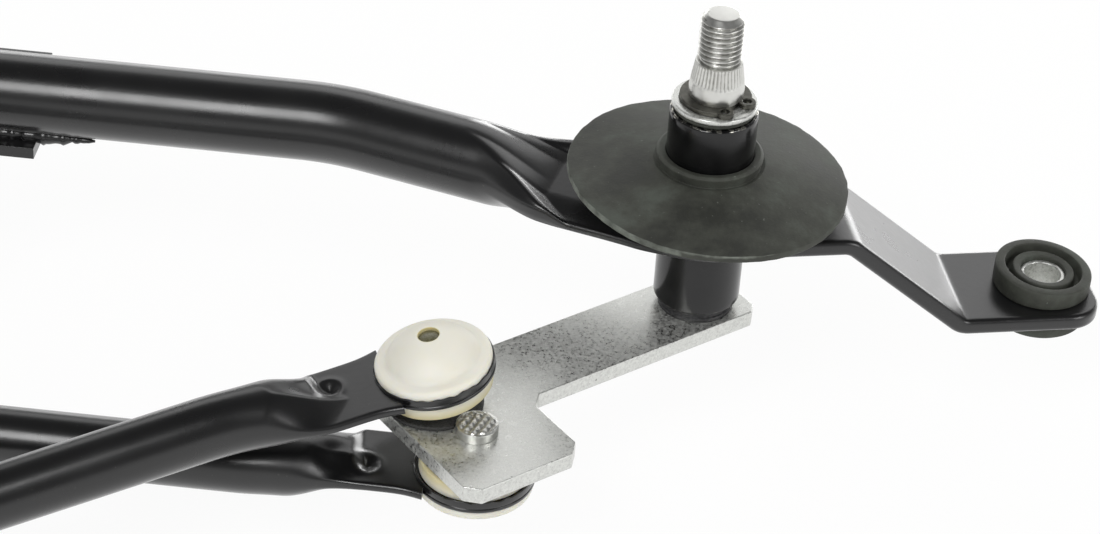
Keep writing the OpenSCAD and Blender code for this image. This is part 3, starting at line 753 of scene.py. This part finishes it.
class LINKAGE_OT_frame_tube(bpy.types.Operator):
    """Builds the frame tube with its pressed ends and folded feet"""

    bl_idname = "linkage.frame_tube"
    bl_label = "Frame tube"

    def execute(self, context):
        right = frame_half()
        left = [ring * (-1, 1, 1) - (SPACING, 0, 0) for ring in right[-2::-1]]
        tube = cover("frame_tube", [skin(right + left)], stove_enamel(), "frame")
        bosses = [(x, 0, TUBE_Z) for x in (0, -SPACING)]
        holes = [(x, FOOT_HOLE[1], FOOT_HOLE[2]) for x in (FOOT_HOLE[0], -SPACING - FOOT_HOLE[0])]
        through = 6
        cutters = [peg(at, radius("right_housing") + 0.02, through) for at in bosses]
        cut(tube, cutters + [peg(at, FOOT_HOLE_R, through) for at in holes])
        tube.data.shade_smooth()
        tube.data.set_sharp_from_angle(angle=math.radians(55))
        return {"FINISHED"}


class LINKAGE_OT_motor_bracket(bpy.types.Operator):
    """Rounds the motor bracket's edges and lays the weld beads along its hook"""

    bl_idname = "linkage.motor_bracket"
    bl_label = "Motor bracket"

    def execute(self, context):
        edged("motor_bracket", 0.5 * MM, stove_enamel(), "frame", 30)
        low, high = span("motor_bracket")
        bead = sizes().bead_r / MM
        count, taper_over = 20, 11.0
        ring = section(1.0, 1.0, 1.0, count)
        beads = []
        crevice = math.radians(-90 - 33)
        # Place across and up, how far the bead runs past the bracket, and its seed
        lines = (
            (RUN_OFFSET + TUBE_R * math.cos(crevice), TUBE_Z + TUBE_R * math.sin(crevice) - 0.6, 14.0, 3),
            (RUN_OFFSET + TUBE_R + 0.5, high[2] + 0.2, -14.0, 4),
        )
        for y, z, past, seed in lines:
            xs = np.linspace(low[0] - past, high[0] + past, 240)
            ripple = 1 + 0.08 * np.sin(xs * 2.1 + seed) + 0.38 * ragged(xs * 0.5, seed, 1, 9)
            taper = np.sqrt(np.clip(np.minimum(xs - xs[0], xs[-1] - xs) / taper_over, 0.02, 1))
            beads.append(skin([
                np.stack([np.full(count, x), y + ring[:, 0] * bead * r, z + ring[:, 1] * bead * r], -1)
                for x, r in zip(xs, ripple * taper)
            ]))
        piece("weld_beads", beads, stove_enamel(), "frame", None, 60)
        return {"FINISHED"}


class LINKAGE_OT_housings(bpy.types.Operator):
    """Builds the spindle housings, their seals and the fillets that hold them in the tube"""

    bl_idname = "linkage.housings"
    bl_label = "Housings"

    def execute(self, context):
        r = radius("right_housing")
        wall = 2.0
        inner = r - wall
        corners = [
            (inner, HOUSING_FOOT, 0.3), (r, HOUSING_FOOT, 0.5), (r, HOUSING_TOP, 0.6), (inner, HOUSING_TOP, 0.3),
        ]
        tube = turned(dense(rounded(corners), 1.2))
        rim = np.minimum(tube[0][:, 2] - HOUSING_FOOT, HOUSING_TOP - tube[0][:, 2])
        tone = np.clip(1.15 - rim / 1.1, 0, 1)
        low, high = heights("right_seal")
        seal_r, bore = radius("right_seal"), SHAFT_R + RUN_GAP
        seal = turned(rounded([(bore, low, 0.2), (seal_r, low, 0.5), (seal_r, high, 0.5), (bore, high, 0.2)]))
        under = TUBE_Z - FLAT_HALF
        fillet = turned(rounded([
            (r + 0.01, under - 3.0, 0.3), (r + 1.0, under - 1.2, 0.8), (r + 3.0, under + 0.1, 0.3),
            (r + 0.01, under + 0.1, 0),
        ]))
        angle = np.arctan2(fillet[0][:, 1], fillet[0][:, 0])
        fillet[0][:, 2] += 0.25 * ragged(angle, 8, 5, 22) * (fillet[0][:, 2] < under - 0.2)
        for side, move in FRAME_SIDES:
            cover(f"{side}_housing", [move(tube)], gloss_enamel(), "frame", tone=tone)
            cover(f"{side}_seal", [move(seal)], moulded_rubber(), "frame")
            piece(f"{side}_housing_weld", [move(fillet)], stove_enamel(), "frame", None, 60)
            for bush in ("upper", "lower"):
                item = frame["nodes"][f"{side}_{bush}_bush"]
                item.data.materials.clear()
                item.data.materials.append(sintered_bronze())
        return {"FINISHED"}


class LINKAGE_OT_rain_discs(bpy.types.Operator):
    """Builds the rubber rain discs, leaning a little on their housings"""

    bl_idname = "linkage.rain_discs"
    bl_label = "Rain discs"

    def execute(self, context):
        low, high = span("right_rain_disc")
        rim, top = radius("right_rain_disc"), high[2]
        hub, collar = radius("right_housing") + 0.02, 12.2
        corners = [
            (hub, top - 0.2, 0.3), (collar - 0.7, top, 0.4), (collar, top - 0.5, 0.3), (collar - 0.5, top - 2.9, 0.15),
            (collar + 0.5, top - 2.6, 0.3), (rim, top - 6.6, 0.25), (rim, low[2], 0.4), (collar, top - 4.4, 1.0),
            (hub, top - 4.4, 0.2),
        ]
        points, faces = turned(dense(rounded(corners), 1.3), 192)
        angle = np.arctan2(points[:, 1], points[:, 0])
        r = np.hypot(points[:, 0], points[:, 1])
        out = np.clip((r - collar) / (rim - collar), 0, 1)
        points[:, 2] -= math.tan(sizes().disc_tilt) * points[:, 0] * out
        points[:, 2] += (0.35 * np.sin(2 * angle + 0.7) + 0.15 * np.sin(5 * angle + 2.0)) * out**2
        edge = 1 + 0.0035 * ragged(angle, 5, 9, 60) * (out > 0.97)
        points[:, :2] *= edge[:, None]
        # Marks the rim's edge for paling in the rubber: rubbed mould flash and a painted highlight
        tone = np.clip((r - rim + 0.3) / 0.25, 0, 1) * (points[:, 2] > low[2] + 0.5)
        for side, move in FRAME_SIDES:
            disc = move((points, faces))
            cover(f"{side}_rain_disc", [disc], moulded_rubber(), "frame", tone=tone)
        return {"FINISHED"}


class LINKAGE_OT_grommets(bpy.types.Operator):
    """Builds the feet's rubber grommets and their spacer sleeves"""

    bl_idname = "linkage.grommets"
    bl_label = "Grommets"

    def execute(self, context):
        low, high = span("right_grommet")
        top, under = high[2] - FOOT_HOLE[2], low[2] - FOOT_HOLE[2]
        rim, sleeve_r = radius("right_grommet"), radius("right_sleeve")
        bore, fit = MOUNTS["right_foot"]["dims"]["r_mm"], sleeve_r + 0.03
        bed, waist, groove = FLAT_HALF + 0.03, FOOT_HOLE_R - 0.1, top - 3.4
        corners = [
            (fit, under + 0.2, 0.3), (rim - 1.2, under, 0.5), (rim - 0.1, under + 0.9, 0.6), (rim - 0.1, -bed, 0.5),
            (waist, -bed, 0.2), (waist, bed, 0.2), (rim, bed, 0.5), (rim, top - 0.1, 0.55), (rim - 2.3, top, 0.3),
            (rim - 2.7, groove, 0.5), (sleeve_r + 2.2, groove, 0.5), (sleeve_r + 2.0, top - 0.6, 0.35),
            (fit, top - 0.8, 0.4),
        ]
        points, faces = turned(dense(rounded(corners), 1.0))
        above = np.clip((points[:, 2] - bed) / (top - bed), 0, 1)
        points[:, 2] -= math.tan(sizes().grommet_tilt) * points[:, 0] * above
        rubber = placed((points, faces), FOOT_HOLE)
        end = top - 1.9
        sleeve = [(bore, under, 0.3), (sleeve_r, under, 0.3), (sleeve_r, end, 0.3), (bore, end, 0.3)]
        tube = placed(turned(rounded(sleeve)), FOOT_HOLE)
        for side, move in FRAME_SIDES:
            cover(f"{side}_grommet", [move(rubber)], moulded_rubber(), "frame")
            cover(f"{side}_sleeve", [move(tube)], zinc_plating(), "frame")
        return {"FINISHED"}


# ---- Spindles


def spindle_part():
    """One spindle as rings up its axis, and how much painted shade each point gets."""
    low, high = heights("right_spindle")
    count = 4 * sizes().knurl_teeth
    angle = np.linspace(0, 2 * math.pi, count, endpoint=False)
    pitch, depth = sizes().thread_pitch / MM, sizes().thread_depth / MM
    clip_low, clip_high = heights("right_circlip")
    rings, tone = [], []

    # A ring's third value is painted shade, for the hollows, the groove and the foot's underside
    def ring(z, r, painted_shade=0.0):
        rings.append(np.stack([r * np.cos(angle), r * np.sin(angle), z + 0 * angle], -1))
        tone.append(np.full(count, 0.0) + painted_shade)

    # Riveted foot, pin through the lever, shaft and circlip groove
    foot_r, dome_w, pin_r, groove_depth = 7.5, 3.4, 5.0, 0.5
    ring(low, 2.0, 0.4)
    ring(low + 0.12, 2.6, 0.4)
    for t in np.linspace(0, 1, 7):
        ring(low + 0.3 + 0.9 * t, foot_r - dome_w + dome_w * math.sin(t * math.pi / 2))
    ring(LEVER_UNDER, foot_r, 0.5)
    for z, r in ((LEVER_UNDER + 0.01, pin_r), (LEVER_TOP, pin_r), (LEVER_TOP + 0.01, SHAFT_R)):
        ring(z, r)
    ring(clip_low - 0.02, SHAFT_R)
    ring(clip_low, SHAFT_R - groove_depth, 0.8)
    ring(clip_high, SHAFT_R - groove_depth, 0.8)
    ring(clip_high + 0.02, SHAFT_R - 0.05, 0.3)
    for z, r in ((-8.6, 6.12), (-7.9, 6.22), (-7.0, 6.24), (-6.2, 6.16), (-5.7, 6.04)):
        ring(z, r)
    # Knurled taper
    teeth = np.abs(((angle / (2 * math.pi) * sizes().knurl_teeth) % 1.0) * 2 - 1)
    for t in np.linspace(0, 1, 16):
        z = -5.5 + 5.1 * t
        cone = 6.02 - 0.98 * (z + 6.0) / 6.0 + 0.12
        deep = float(smooth(t / 0.14) * smooth((1 - t) / 0.08 + 0.2))
        ring(z, cone - sizes().knurl_depth / MM * teeth * deep, 0.5 * teeth * deep)
    # Thread, which runs out at the bottom and is chamfered at the top
    ring(-0.3, 4.85, 0.6)
    ring(0.0, 4.5, 0.7)
    for z in np.arange(0.08, high - 0.06, pitch / 13):
        wave = np.abs(((z / pitch - angle / (2 * math.pi)) % 1.0) * 2 - 1)
        root = np.clip((wave - 0.14) / 0.74, 0, 1)
        fade = float(smooth(z / 0.7))
        r = THREAD_R - depth * (1 - fade + root * fade)
        lid = THREAD_R - 1.3 * np.clip(z - (high - 1.2), 0, 1.2)
        ring(z, np.minimum(r, lid), np.where(r < lid, 0.75 * root, 0.0) * fade)
    for z, r in ((high - 0.03, 3.4), (high, 3.25), (high + 0.02, 0.3)):
        ring(z, r)
    return skin(rings), np.concatenate(tone)


class LINKAGE_OT_spindles(bpy.types.Operator):
    """Builds the spindles with thread, knurled taper, circlip groove and riveted foot"""

    bl_idname = "linkage.spindles"
    bl_label = "Spindles"

    def execute(self, context):
        part, tone = spindle_part()
        for side, move in SPINDLE_SIDES:
            body = f"{side}_spindle"
            cover(body, [move(part)], plated_steel(), body, 50, tone)
        return {"FINISHED"}


class LINKAGE_OT_retainers(bpy.types.Operator):
    """Builds the washers, circlips and thrust rings that hold the spindles"""

    bl_idname = "linkage.retainers"
    bl_label = "Retainers"

    def execute(self, context):
        low, high = heights("right_washer")
        r, bore = radius("right_washer"), SHAFT_R + RUN_GAP
        washer = turned(rounded([
            (bore, low, 0.1), (r, low, 0.35), (r, high, 0.45), (r - 1.5, high, 0.15), (r - 1.7, high - 0.12, 0.1),
            (r - 1.9, high - 0.12, 0.1), (r - 2.1, high, 0.15), (bore, high, 0.1),
        ]))
        low, high = heights("right_thrust_ring")
        r, middle = radius("right_thrust_ring"), (low + high) / 2
        thrust = turned(rounded([
            (bore, low, 0.1), (r, low, 0.3), (r, middle - 0.5, 0.2), (r - 0.5, middle - 0.2, 0.2),
            (r - 0.5, middle + 0.2, 0.2), (r, middle + 0.5, 0.2), (r, high, 0.3), (bore, high, 0.1),
        ]))
        for side, move in SPINDLE_SIDES:
            body = f"{side}_spindle"
            cover(f"{side}_washer", [move(washer)], zinc_plating(), body)
            cover(f"{side}_thrust_ring", [move(thrust)], acetal(), body)
            edged(f"{side}_circlip", 0.18 * MM, phosphated_steel(), body)
        return {"FINISHED"}


class LINKAGE_OT_levers(bpy.types.Operator):
    """Rounds the sheared edges of the two levers"""

    bl_idname = "linkage.levers"
    bl_label = "Levers"

    def execute(self, context):
        for node, body in (("drive_lever", "right_spindle"), ("driven_lever", "left_spindle")):
            edged(node, sizes().plate_edge, zinc_plating(), body, 30)
        return {"FINISHED"}


# ---- Ball joints


def pyramid_head(r, base, height, count=61):
    """The pressed top of a rivet: a round field of small pyramids, pointing down."""
    grid = np.linspace(-1, 1, count)
    u, v = np.meshgrid(grid, grid, indexing="ij")
    x, y = r * u * np.sqrt(1 - v * v / 2), r * v * np.sqrt(1 - u * u / 2)
    pitch = sizes().rivet_pitch / MM
    turn = math.radians(20)
    a, b = x * math.cos(turn) + y * math.sin(turn), y * math.cos(turn) - x * math.sin(turn)
    peak = 1 - np.maximum(np.abs((a / pitch) % 1 * 2 - 1), np.abs((b / pitch) % 1 * 2 - 1))
    inside = smooth((r - np.hypot(x, y)) / 0.45)
    points = np.stack([x, y, base - height * peak * inside], -1).reshape(-1, 3)
    i, j = np.meshgrid(np.arange(count - 1), np.arange(count - 1), indexing="ij")
    at = i * count + j
    faces = np.stack([at, at + 1, at + count + 1, at + count], -1).reshape(-1, 4).tolist()
    # Painted shade in the hollows between the pyramids
    tone = (0.5 * (1 - peak) ** 3 * inside).reshape(-1)
    return (points, faces), tone


def stud_part(h, head):
    """A ball stud about its ball's centre, with the plate below it."""
    neck_r, seat_r, shank_r, pattern_h = 5.0, 6.5, 4.0, 0.7
    rim = LEVER_T + h
    side = head - pattern_h
    foot = -rim - side
    arc = np.radians(np.linspace(90, -52, 40))
    ball = np.stack([BALL_R * np.cos(arc), BALL_R * np.sin(arc)], -1)
    ball[0, 0] = 0
    rest = rounded([
        (neck_r, -6.4, 0.4), (neck_r, -h + 1.0, 0.2), (seat_r, -h + 0.98, 0.2), (seat_r, -h, 0), (shank_r, -h, 0),
        (shank_r, -rim, 0), (RIVET_R, -rim - 0.05, 0.1), (RIVET_R, foot, 0.3), (4.3, foot - 0.05, 0),
        (0, foot - 0.05, 0),
    ])
    body = turned(np.concatenate([ball, rest]), 96)
    cap, cap_tone = pyramid_head(4.4, foot, pattern_h)
    return [body, cap], np.concatenate([np.zeros(len(body[0])), cap_tone])


class LINKAGE_OT_ball_studs(bpy.types.Operator):
    """Builds the riveted ball studs and the felt rings at their necks"""

    bl_idname = "linkage.ball_studs"
    bl_label = "Ball studs"

    def execute(self, context):
        drive_h = DRIVE_BALL[2] - LEVER_TOP
        link_h = LEVER_UNDER - RIGHT_BALL[2]
        felt_r, felt_bore = radius("left_dust_ring"), 6.56
        joints = (
            ("drive", DRIVE_BALL, drive_h, "right_spindle", same, RIGHT_BALL),
            ("right", RIGHT_BALL, link_h, "right_spindle", hung, DRIVE_BALL),
            ("left", RIGHT_BALL - (SPACING, 0, 0), link_h, "left_spindle", hung, None),
        )
        for name, at, h, body, move, neighbour in joints:
            low, high = span(f"{name}_ball_stud")
            parts, tone = stud_part(h, high[2] - low[2] - LEVER_T - h - BALL_R)
            parts = [placed(move(part), at) for part in parts]
            cover(f"{name}_ball_stud", parts, plated_steel(), body, 35, tone)
            under, top = -h + 0.02, -h + 1.0
            corners = [(felt_bore, under, 0.1), (felt_r, under, 0.3), (felt_r, top, 0.4), (felt_bore, top, 0.1)]
            felt = turned(dense(rounded(corners), 0.5))
            washer = cover(f"{name}_dust_ring", [placed(move(felt), at)], greased_felt(), body)
            if neighbour is not None:
                cut(washer, [peg((neighbour[0], neighbour[1], LEVER_TOP - LEVER_T / 2), RIVET_R + 0.4, LEVER_T)])
                washer.data.set_sharp_from_angle(angle=math.radians(40))
        return {"FINISHED"}


def socket_part():
    """A nylon socket about its ball's centre, dome up, and how yellow each point is."""
    low, high = span("right_socket")
    top = RIGHT_BALL[2] - low[2]
    mouth = RIGHT_BALL[2] - high[2]
    flange_r, lip_r, hole_r = 13.1, 12.5, 2.4
    shelf = EYE_HALF + 2.6
    dome_base, dome_h = 10.5, top - shelf
    dome_r = (dome_base**2 + dome_h**2) / (2 * dome_h)
    reach = math.asin((dome_base - 0.9) / dome_r)
    arc = np.linspace(math.asin((hole_r + 0.25) / dome_r), reach, 30)
    dome = np.stack([dome_r * np.sin(arc), top - dome_r + dome_r * np.cos(arc)], -1)
    shoulder = rounded([
        (dome[-1][0], dome[-1][1], 0), (dome_base - 0.1, shelf - 0.1, 1.2), (flange_r, shelf - 0.25, 1.2),
        (flange_r, EYE_HALF + 0.05, 0.5), (WAIST_R, EYE_HALF + 0.02, 0.1), (WAIST_R, -EYE_HALF - 0.02, 0.1),
        (lip_r, -EYE_HALF - 0.05, 0.5), (lip_r - 0.1, mouth, 0.7), (7.2, mouth, 0.2), (6.92, mouth + 0.25, 0),
    ], steps=6)[1:]
    gap_r = BALL_R + RUN_GAP
    inner = np.linspace(math.asin(-4.1 / gap_r), math.acos(hole_r / gap_r), 40)
    cup = np.stack([gap_r * np.cos(inner), gap_r * np.sin(inner)], -1)
    hole = np.array([[hole_r, top - 0.35]])
    profile = np.concatenate([dome, shoulder, cup, hole])
    part = turned(profile, 128)
    r, z = np.hypot(part[0][:, 0], part[0][:, 1]), part[0][:, 2]
    tone = np.where(r < hole_r + 0.1, 0.9, 0.0) + np.clip((-EYE_HALF - 1.2 - z) / 1.5, 0, 1) * 0.75
    return part, np.clip(tone, 0, 1)


def grease_part():
    """Grease that fills a socket's hole to just under its edge."""
    r, base = 2.36, BALL_R + 0.15
    top = RIGHT_BALL[2] - span("right_socket")[0][2] - 1.0
    return turned(rounded([(0, base, 0), (r, base, 0), (r, top, 0.3), (0, top + 0.3, 0)]), 32)


DRIVE_REACH = MOTOR_BALL - DRIVE_BALL
DRIVE_UP = np.array(MOUNTS["motor_ball"]["axis"])
DRIVE_RISE = float(DRIVE_REACH @ DRIVE_UP)
DRIVE_LEN = float(np.linalg.norm(DRIVE_REACH - DRIVE_RISE * DRIVE_UP))
DRIVE_WAY = (DRIVE_REACH - DRIVE_RISE * DRIVE_UP) / DRIVE_LEN


class LINKAGE_OT_sockets(bpy.types.Operator):
    """Builds the nylon ball sockets and the grease in their holes"""

    bl_idname = "linkage.sockets"
    bl_label = "Sockets"

    def execute(self, context):
        part, tone = socket_part()
        sockets = (
            ("lever", DRIVE_BALL, DRIVE_WAY, DRIVE_UP, "drive_link", same),
            ("motor", MOTOR_BALL, DRIVE_WAY, DRIVE_UP, "drive_link", hung),
            ("right", RIGHT_BALL, (1, 0, 0), UP, "connecting_link", hung),
            ("left", RIGHT_BALL - (SPACING, 0, 0), (1, 0, 0), UP, "connecting_link", hung),
        )
        for name, at, way, up, body, turn in sockets:
            shell = placed(turn(part), at, way, up)
            cover(f"{name}_socket", [shell], natural_nylon(), body, 50, tone)
            if name != "motor":
                plug = placed(turn(grease_part()), at, way, up)
                piece(f"{name}_grease", [plug], lithium_grease(), body, None)
        return {"FINISHED"}


# ---- Links


def link_parts(reach, lift, far_lift, dimples):
    """A link along X: a tube whose ends are pressed flat, with a two-layer eye at each."""
    eye_edge, count, neck_swell = 10.4, 96, 1.6
    neck_end = NECK_ROUND_AT + 4
    stations = np.concatenate([np.arange(eye_edge, neck_end, 0.4), np.arange(neck_end, reach / 2, 6.0)])
    stations = np.concatenate([stations, (reach - stations)[::-1]])
    flat = section(NECK_HALF_W, EYE_HALF - 0.03, 0.9, count)
    whole = section(LINK_R, LINK_R, LINK_R, count)
    front = np.sign(section(1, 1, 1, count)[:, 0]) > 0
    on_top = whole[:, 1] > 0
    rings = []
    for x in stations:
        near = x < reach / 2
        from_eye = x if near else reach - x
        eye_z = 0.0 if near else far_lift
        narrow = np.where(
            front, smooth((from_eye - 24) / 24),
            0.4 * smooth((from_eye - 25.5) / 3.0) + 0.6 * smooth((from_eye - 26) / 20),
        )
        half_w = NECK_HALF_W + (LINK_R - NECK_HALF_W) * narrow + neck_swell * float(bump(from_eye - 8, 5.0))
        rise = float(smooth((from_eye - 21) / 17))
        aside = (flat[:, 0] / NECK_HALF_W * (1 - rise) + whole[:, 0] / LINK_R * rise) * half_w
        # The tube's back runs into the flat as a blunt point, with a crease on each side of it
        off = aside - 2.2
        border = NECK_FLAT_AT + 0.75 * np.clip(off, 0, None) - 0.5 * np.clip(off, None, 0)
        t = np.clip((from_eye - border) / 16.0, 0, 1)
        nose = 0.5 * smooth((from_eye - 25) / 13) + 0.5 * smooth((from_eye - 25) / 3)
        top_share = mixed([0.5 * t + 0.5 * smooth(t)], [nose], smooth(-off / 8))[0]
        share = np.where(on_top, top_share, smooth((from_eye - 22) / 20))
        droop = float(smooth((from_eye - 12) / 42))
        height = flat[:, 1] * (1 - share) + ((lift - eye_z) * droop + whole[:, 1]) * share
        for at, across, deep, wide in dimples:
            gap = np.hypot(from_eye - at, aside - across) / wide
            height -= deep * (bump(gap, 1.0) - 0.12 * bump(gap - 1.8, 0.5)) * on_top
        rings.append(np.stack([np.full(count, x), aside, eye_z + height], -1))
    bore, burr_top = WAIST_R + 0.03, EYE_HALF + 0.7
    eye = turned(rounded([
        (bore, -EYE_HALF, 0.2), (EYE_R, -EYE_HALF, 0.7), (EYE_R, -0.2, 0.3), (EYE_R - 0.3, 0, 0.05), (EYE_R, 0.2, 0.3),
        (EYE_R, burr_top, 0.2), (EYE_R - 0.35, burr_top, 0.15), (EYE_R - 0.37, EYE_HALF, 0.1), (bore, EYE_HALF, 0.2),
    ]))
    burr = eye[0][:, 2] > EYE_HALF + 0.2
    eye[0][:, 2] += 0.22 * ragged(np.arctan2(eye[0][:, 1], eye[0][:, 0]), 6, 4, 30) * burr
    return [skin(rings), eye, placed(eye, (reach, 0, far_lift))]


class LINKAGE_OT_links(bpy.types.Operator):
    """Builds the drive link and the connecting link with their pressed ends"""

    bl_idname = "linkage.links"
    bl_label = "Links"

    def execute(self, context):
        deep = sizes().dimple_depth / MM
        lift = span("connecting_tube")[0][2] + LINK_R - RIGHT_BALL[2]
        # A dimple is its place along and across the neck, its depth and its radius
        drive = link_parts(DRIVE_LEN, DRIVE_RISE / 2, DRIVE_RISE, [(23.6, -2.8, deep, 1.7)])
        connecting = link_parts(SPACING, lift, 0.0, [(23.6, 2.6, deep, 1.8), (32.0, 2.1, 0.5 * deep, 2.6)])
        links = (
            ("drive", drive, DRIVE_BALL, DRIVE_WAY, DRIVE_UP), ("connecting", connecting, RIGHT_BALL, (-1, 0, 0), UP),
        )
        for name, parts, at, way, up in links:
            parts = [placed(part, at, way, up) for part in parts]
            cover(f"{name}_tube", parts, stove_enamel(), f"{name}_link")
        return {"FINISHED"}


# ---- Stage


class LINKAGE_OT_stage(bpy.types.Operator):
    """Sets the pale floor, the studio light and the camera"""

    bl_idname = "linkage.stage"
    bl_label = "Stage"

    def execute(self, context):
        scene = context.scene
        scene.view_settings.view_transform = "Standard"
        self.floor(scene)
        self.world(scene)
        self.lamps(scene)
        self.camera(scene)
        return {"FINISHED"}

    def floor(self, scene):
        half, z = 9, CAD_BOX[0][2] - 0.5 * MM
        mesh = bpy.data.meshes.new("floor")
        mesh.from_pydata([(-half, -half, z), (half, -half, z), (half, half, z), (-half, half, z)], [], [(0, 1, 2, 3)])
        ground = bpy.data.objects.new("floor", mesh)
        scene.collection.objects.link(ground)
        ground.data.materials.append(studio_paper())

    def world(self, scene):
        world = bpy.data.worlds.new("studio")
        scene.world = world
        world.use_nodes = True
        tree = world.node_tree
        tree.nodes.clear()
        path = add(tree, "LightPath").outputs
        seen = add(tree, "Math", {0: path["Is Glossy Ray"], 1: path["Is Transmission Ray"]}, operation="MAXIMUM")
        way = add(tree, "TexCoord").outputs["Generated"]
        dome = stops(
            add(tree, "ValToRGB", {"Fac": add(tree, "SeparateXYZ", {0: way}).outputs["Z"]}),
            (0.0, 1.0), (0.10, 0.8), (0.25, 0.24), (0.6, 0.14), (0.9, 0.10),
        )
        soft = add(tree, "Background", {"Color": (1, 1, 1, 1), "Strength": 0.55})
        shown = add(tree, "Background", {"Color": dome, "Strength": 1.0})
        white = add(tree, "Background", {"Color": (1, 1, 1, 1), "Strength": 1.0})
        lit = add(tree, "MixShader", {0: seen, 1: soft, 2: shown})
        add(tree, "OutputWorld", {"Surface": add(tree, "MixShader", {0: path["Is Camera Ray"], 1: lit, 2: white})})

    def lamps(self, scene):
        # Name, place, width, height and power
        lamps = (
            ("key", (-0.36, -0.95, 0.95), 0.45, 0.55, 7.5),
            ("fill", (0.95, -0.55, 0.55), 0.50, 0.50, 3.5),
            ("strip", (0.55, 1.10, 0.09), 1.40, 0.38, 7.5),
            ("low_strip", (-0.70, 1.10, 0.09), 1.10, 0.38, 2.0),
            ("back", (-0.05, 1.02, 0.72), 1.60, 0.55, 3.4),
        )
        aim = Vector((-0.05, 0.0, -0.04))
        for name, at, wide, tall, power in lamps:
            light = bpy.data.lights.new(name, "AREA")
            light.shape = "RECTANGLE"
            light.size, light.size_y = wide, tall
            light.energy = power
            lamp = bpy.data.objects.new(name, light)
            lamp.location = at
            lamp.rotation_euler = (aim - Vector(at)).to_track_quat("-Z", "Y").to_euler()
            scene.collection.objects.link(lamp)

    def camera(self, scene):
        elevation, roll, pan, tilt = (math.radians(a) for a in (32.53, 5.67, -2.82, -2.61))
        distance, aim_z = 676.81, -23.0
        sensor, focal_px, width_px = 36.0, 3000, 1100
        right = np.array((1.0, 0.0, 0.0))
        ahead = np.array((0.0, math.cos(elevation), -math.sin(elevation)))
        above = np.array((0.0, math.sin(elevation), math.cos(elevation)))
        spot = -ahead * distance + (0, 0, aim_z)
        turned_ahead = ahead * math.cos(pan) + right * math.sin(pan)
        right = right * math.cos(pan) - ahead * math.sin(pan)
        ahead = turned_ahead * math.cos(tilt) + above * math.sin(tilt)
        above = above * math.cos(tilt) - turned_ahead * math.sin(tilt)
        x = right * math.cos(roll) + above * math.sin(roll)
        y = above * math.cos(roll) - right * math.sin(roll)
        lens = bpy.data.cameras.new("camera")
        lens.sensor_fit = "HORIZONTAL"
        lens.sensor_width = sensor
        lens.lens = sensor * focal_px / width_px
        lens.clip_start = 0.01
        eye = bpy.data.objects.new("camera", lens)
        eye.matrix_world = Matrix((*np.stack([x, y, -ahead, spot * MM], -1).tolist(), (0, 0, 0, 1)))
        scene.collection.objects.link(eye)
        scene.camera = eye


class LINKAGE_PT_sidebar(bpy.types.Panel):
    """Lists the linkage's pieces, sizes and colours"""

    bl_idname = "LINKAGE_PT_sidebar"
    bl_label = "Wiper linkage"
    bl_space_type = "VIEW_3D"
    bl_region_type = "UI"
    bl_category = "Linkage"

    def draw(self, context):
        for step in STEPS:
            self.layout.operator(step.bl_idname)
        for group in (context.scene.linkage_sizes, context.scene.linkage_colours):
            box = self.layout.box()
            for name in group.bl_rna.properties.keys():
                if name not in ("rna_type", "name"):
                    box.prop(group, name)


STEPS = (
    LINKAGE_OT_stage, LINKAGE_OT_frame_tube, LINKAGE_OT_motor_bracket, LINKAGE_OT_housings, LINKAGE_OT_rain_discs,
    LINKAGE_OT_grommets, LINKAGE_OT_spindles, LINKAGE_OT_retainers, LINKAGE_OT_levers, LINKAGE_OT_ball_studs,
    LINKAGE_OT_sockets, LINKAGE_OT_links,
)
CLASSES = (LinkageSizes, LinkageColours, *STEPS, LINKAGE_PT_sidebar)


def register():
    for item in CLASSES:
        bpy.utils.register_class(item)
    bpy.types.Scene.linkage_sizes = bpy.props.PointerProperty(type=LinkageSizes)
    bpy.types.Scene.linkage_colours = bpy.props.PointerProperty(type=LinkageColours)


def unregister():
    del bpy.types.Scene.linkage_colours
    del bpy.types.Scene.linkage_sizes
    for item in reversed(CLASSES):
        bpy.utils.unregister_class(item)


def main():
    register()
    for step in STEPS:
        group, name = step.bl_idname.split(".")
        getattr(getattr(bpy.ops, group), name)()


if __name__ == "__main__":
    main()
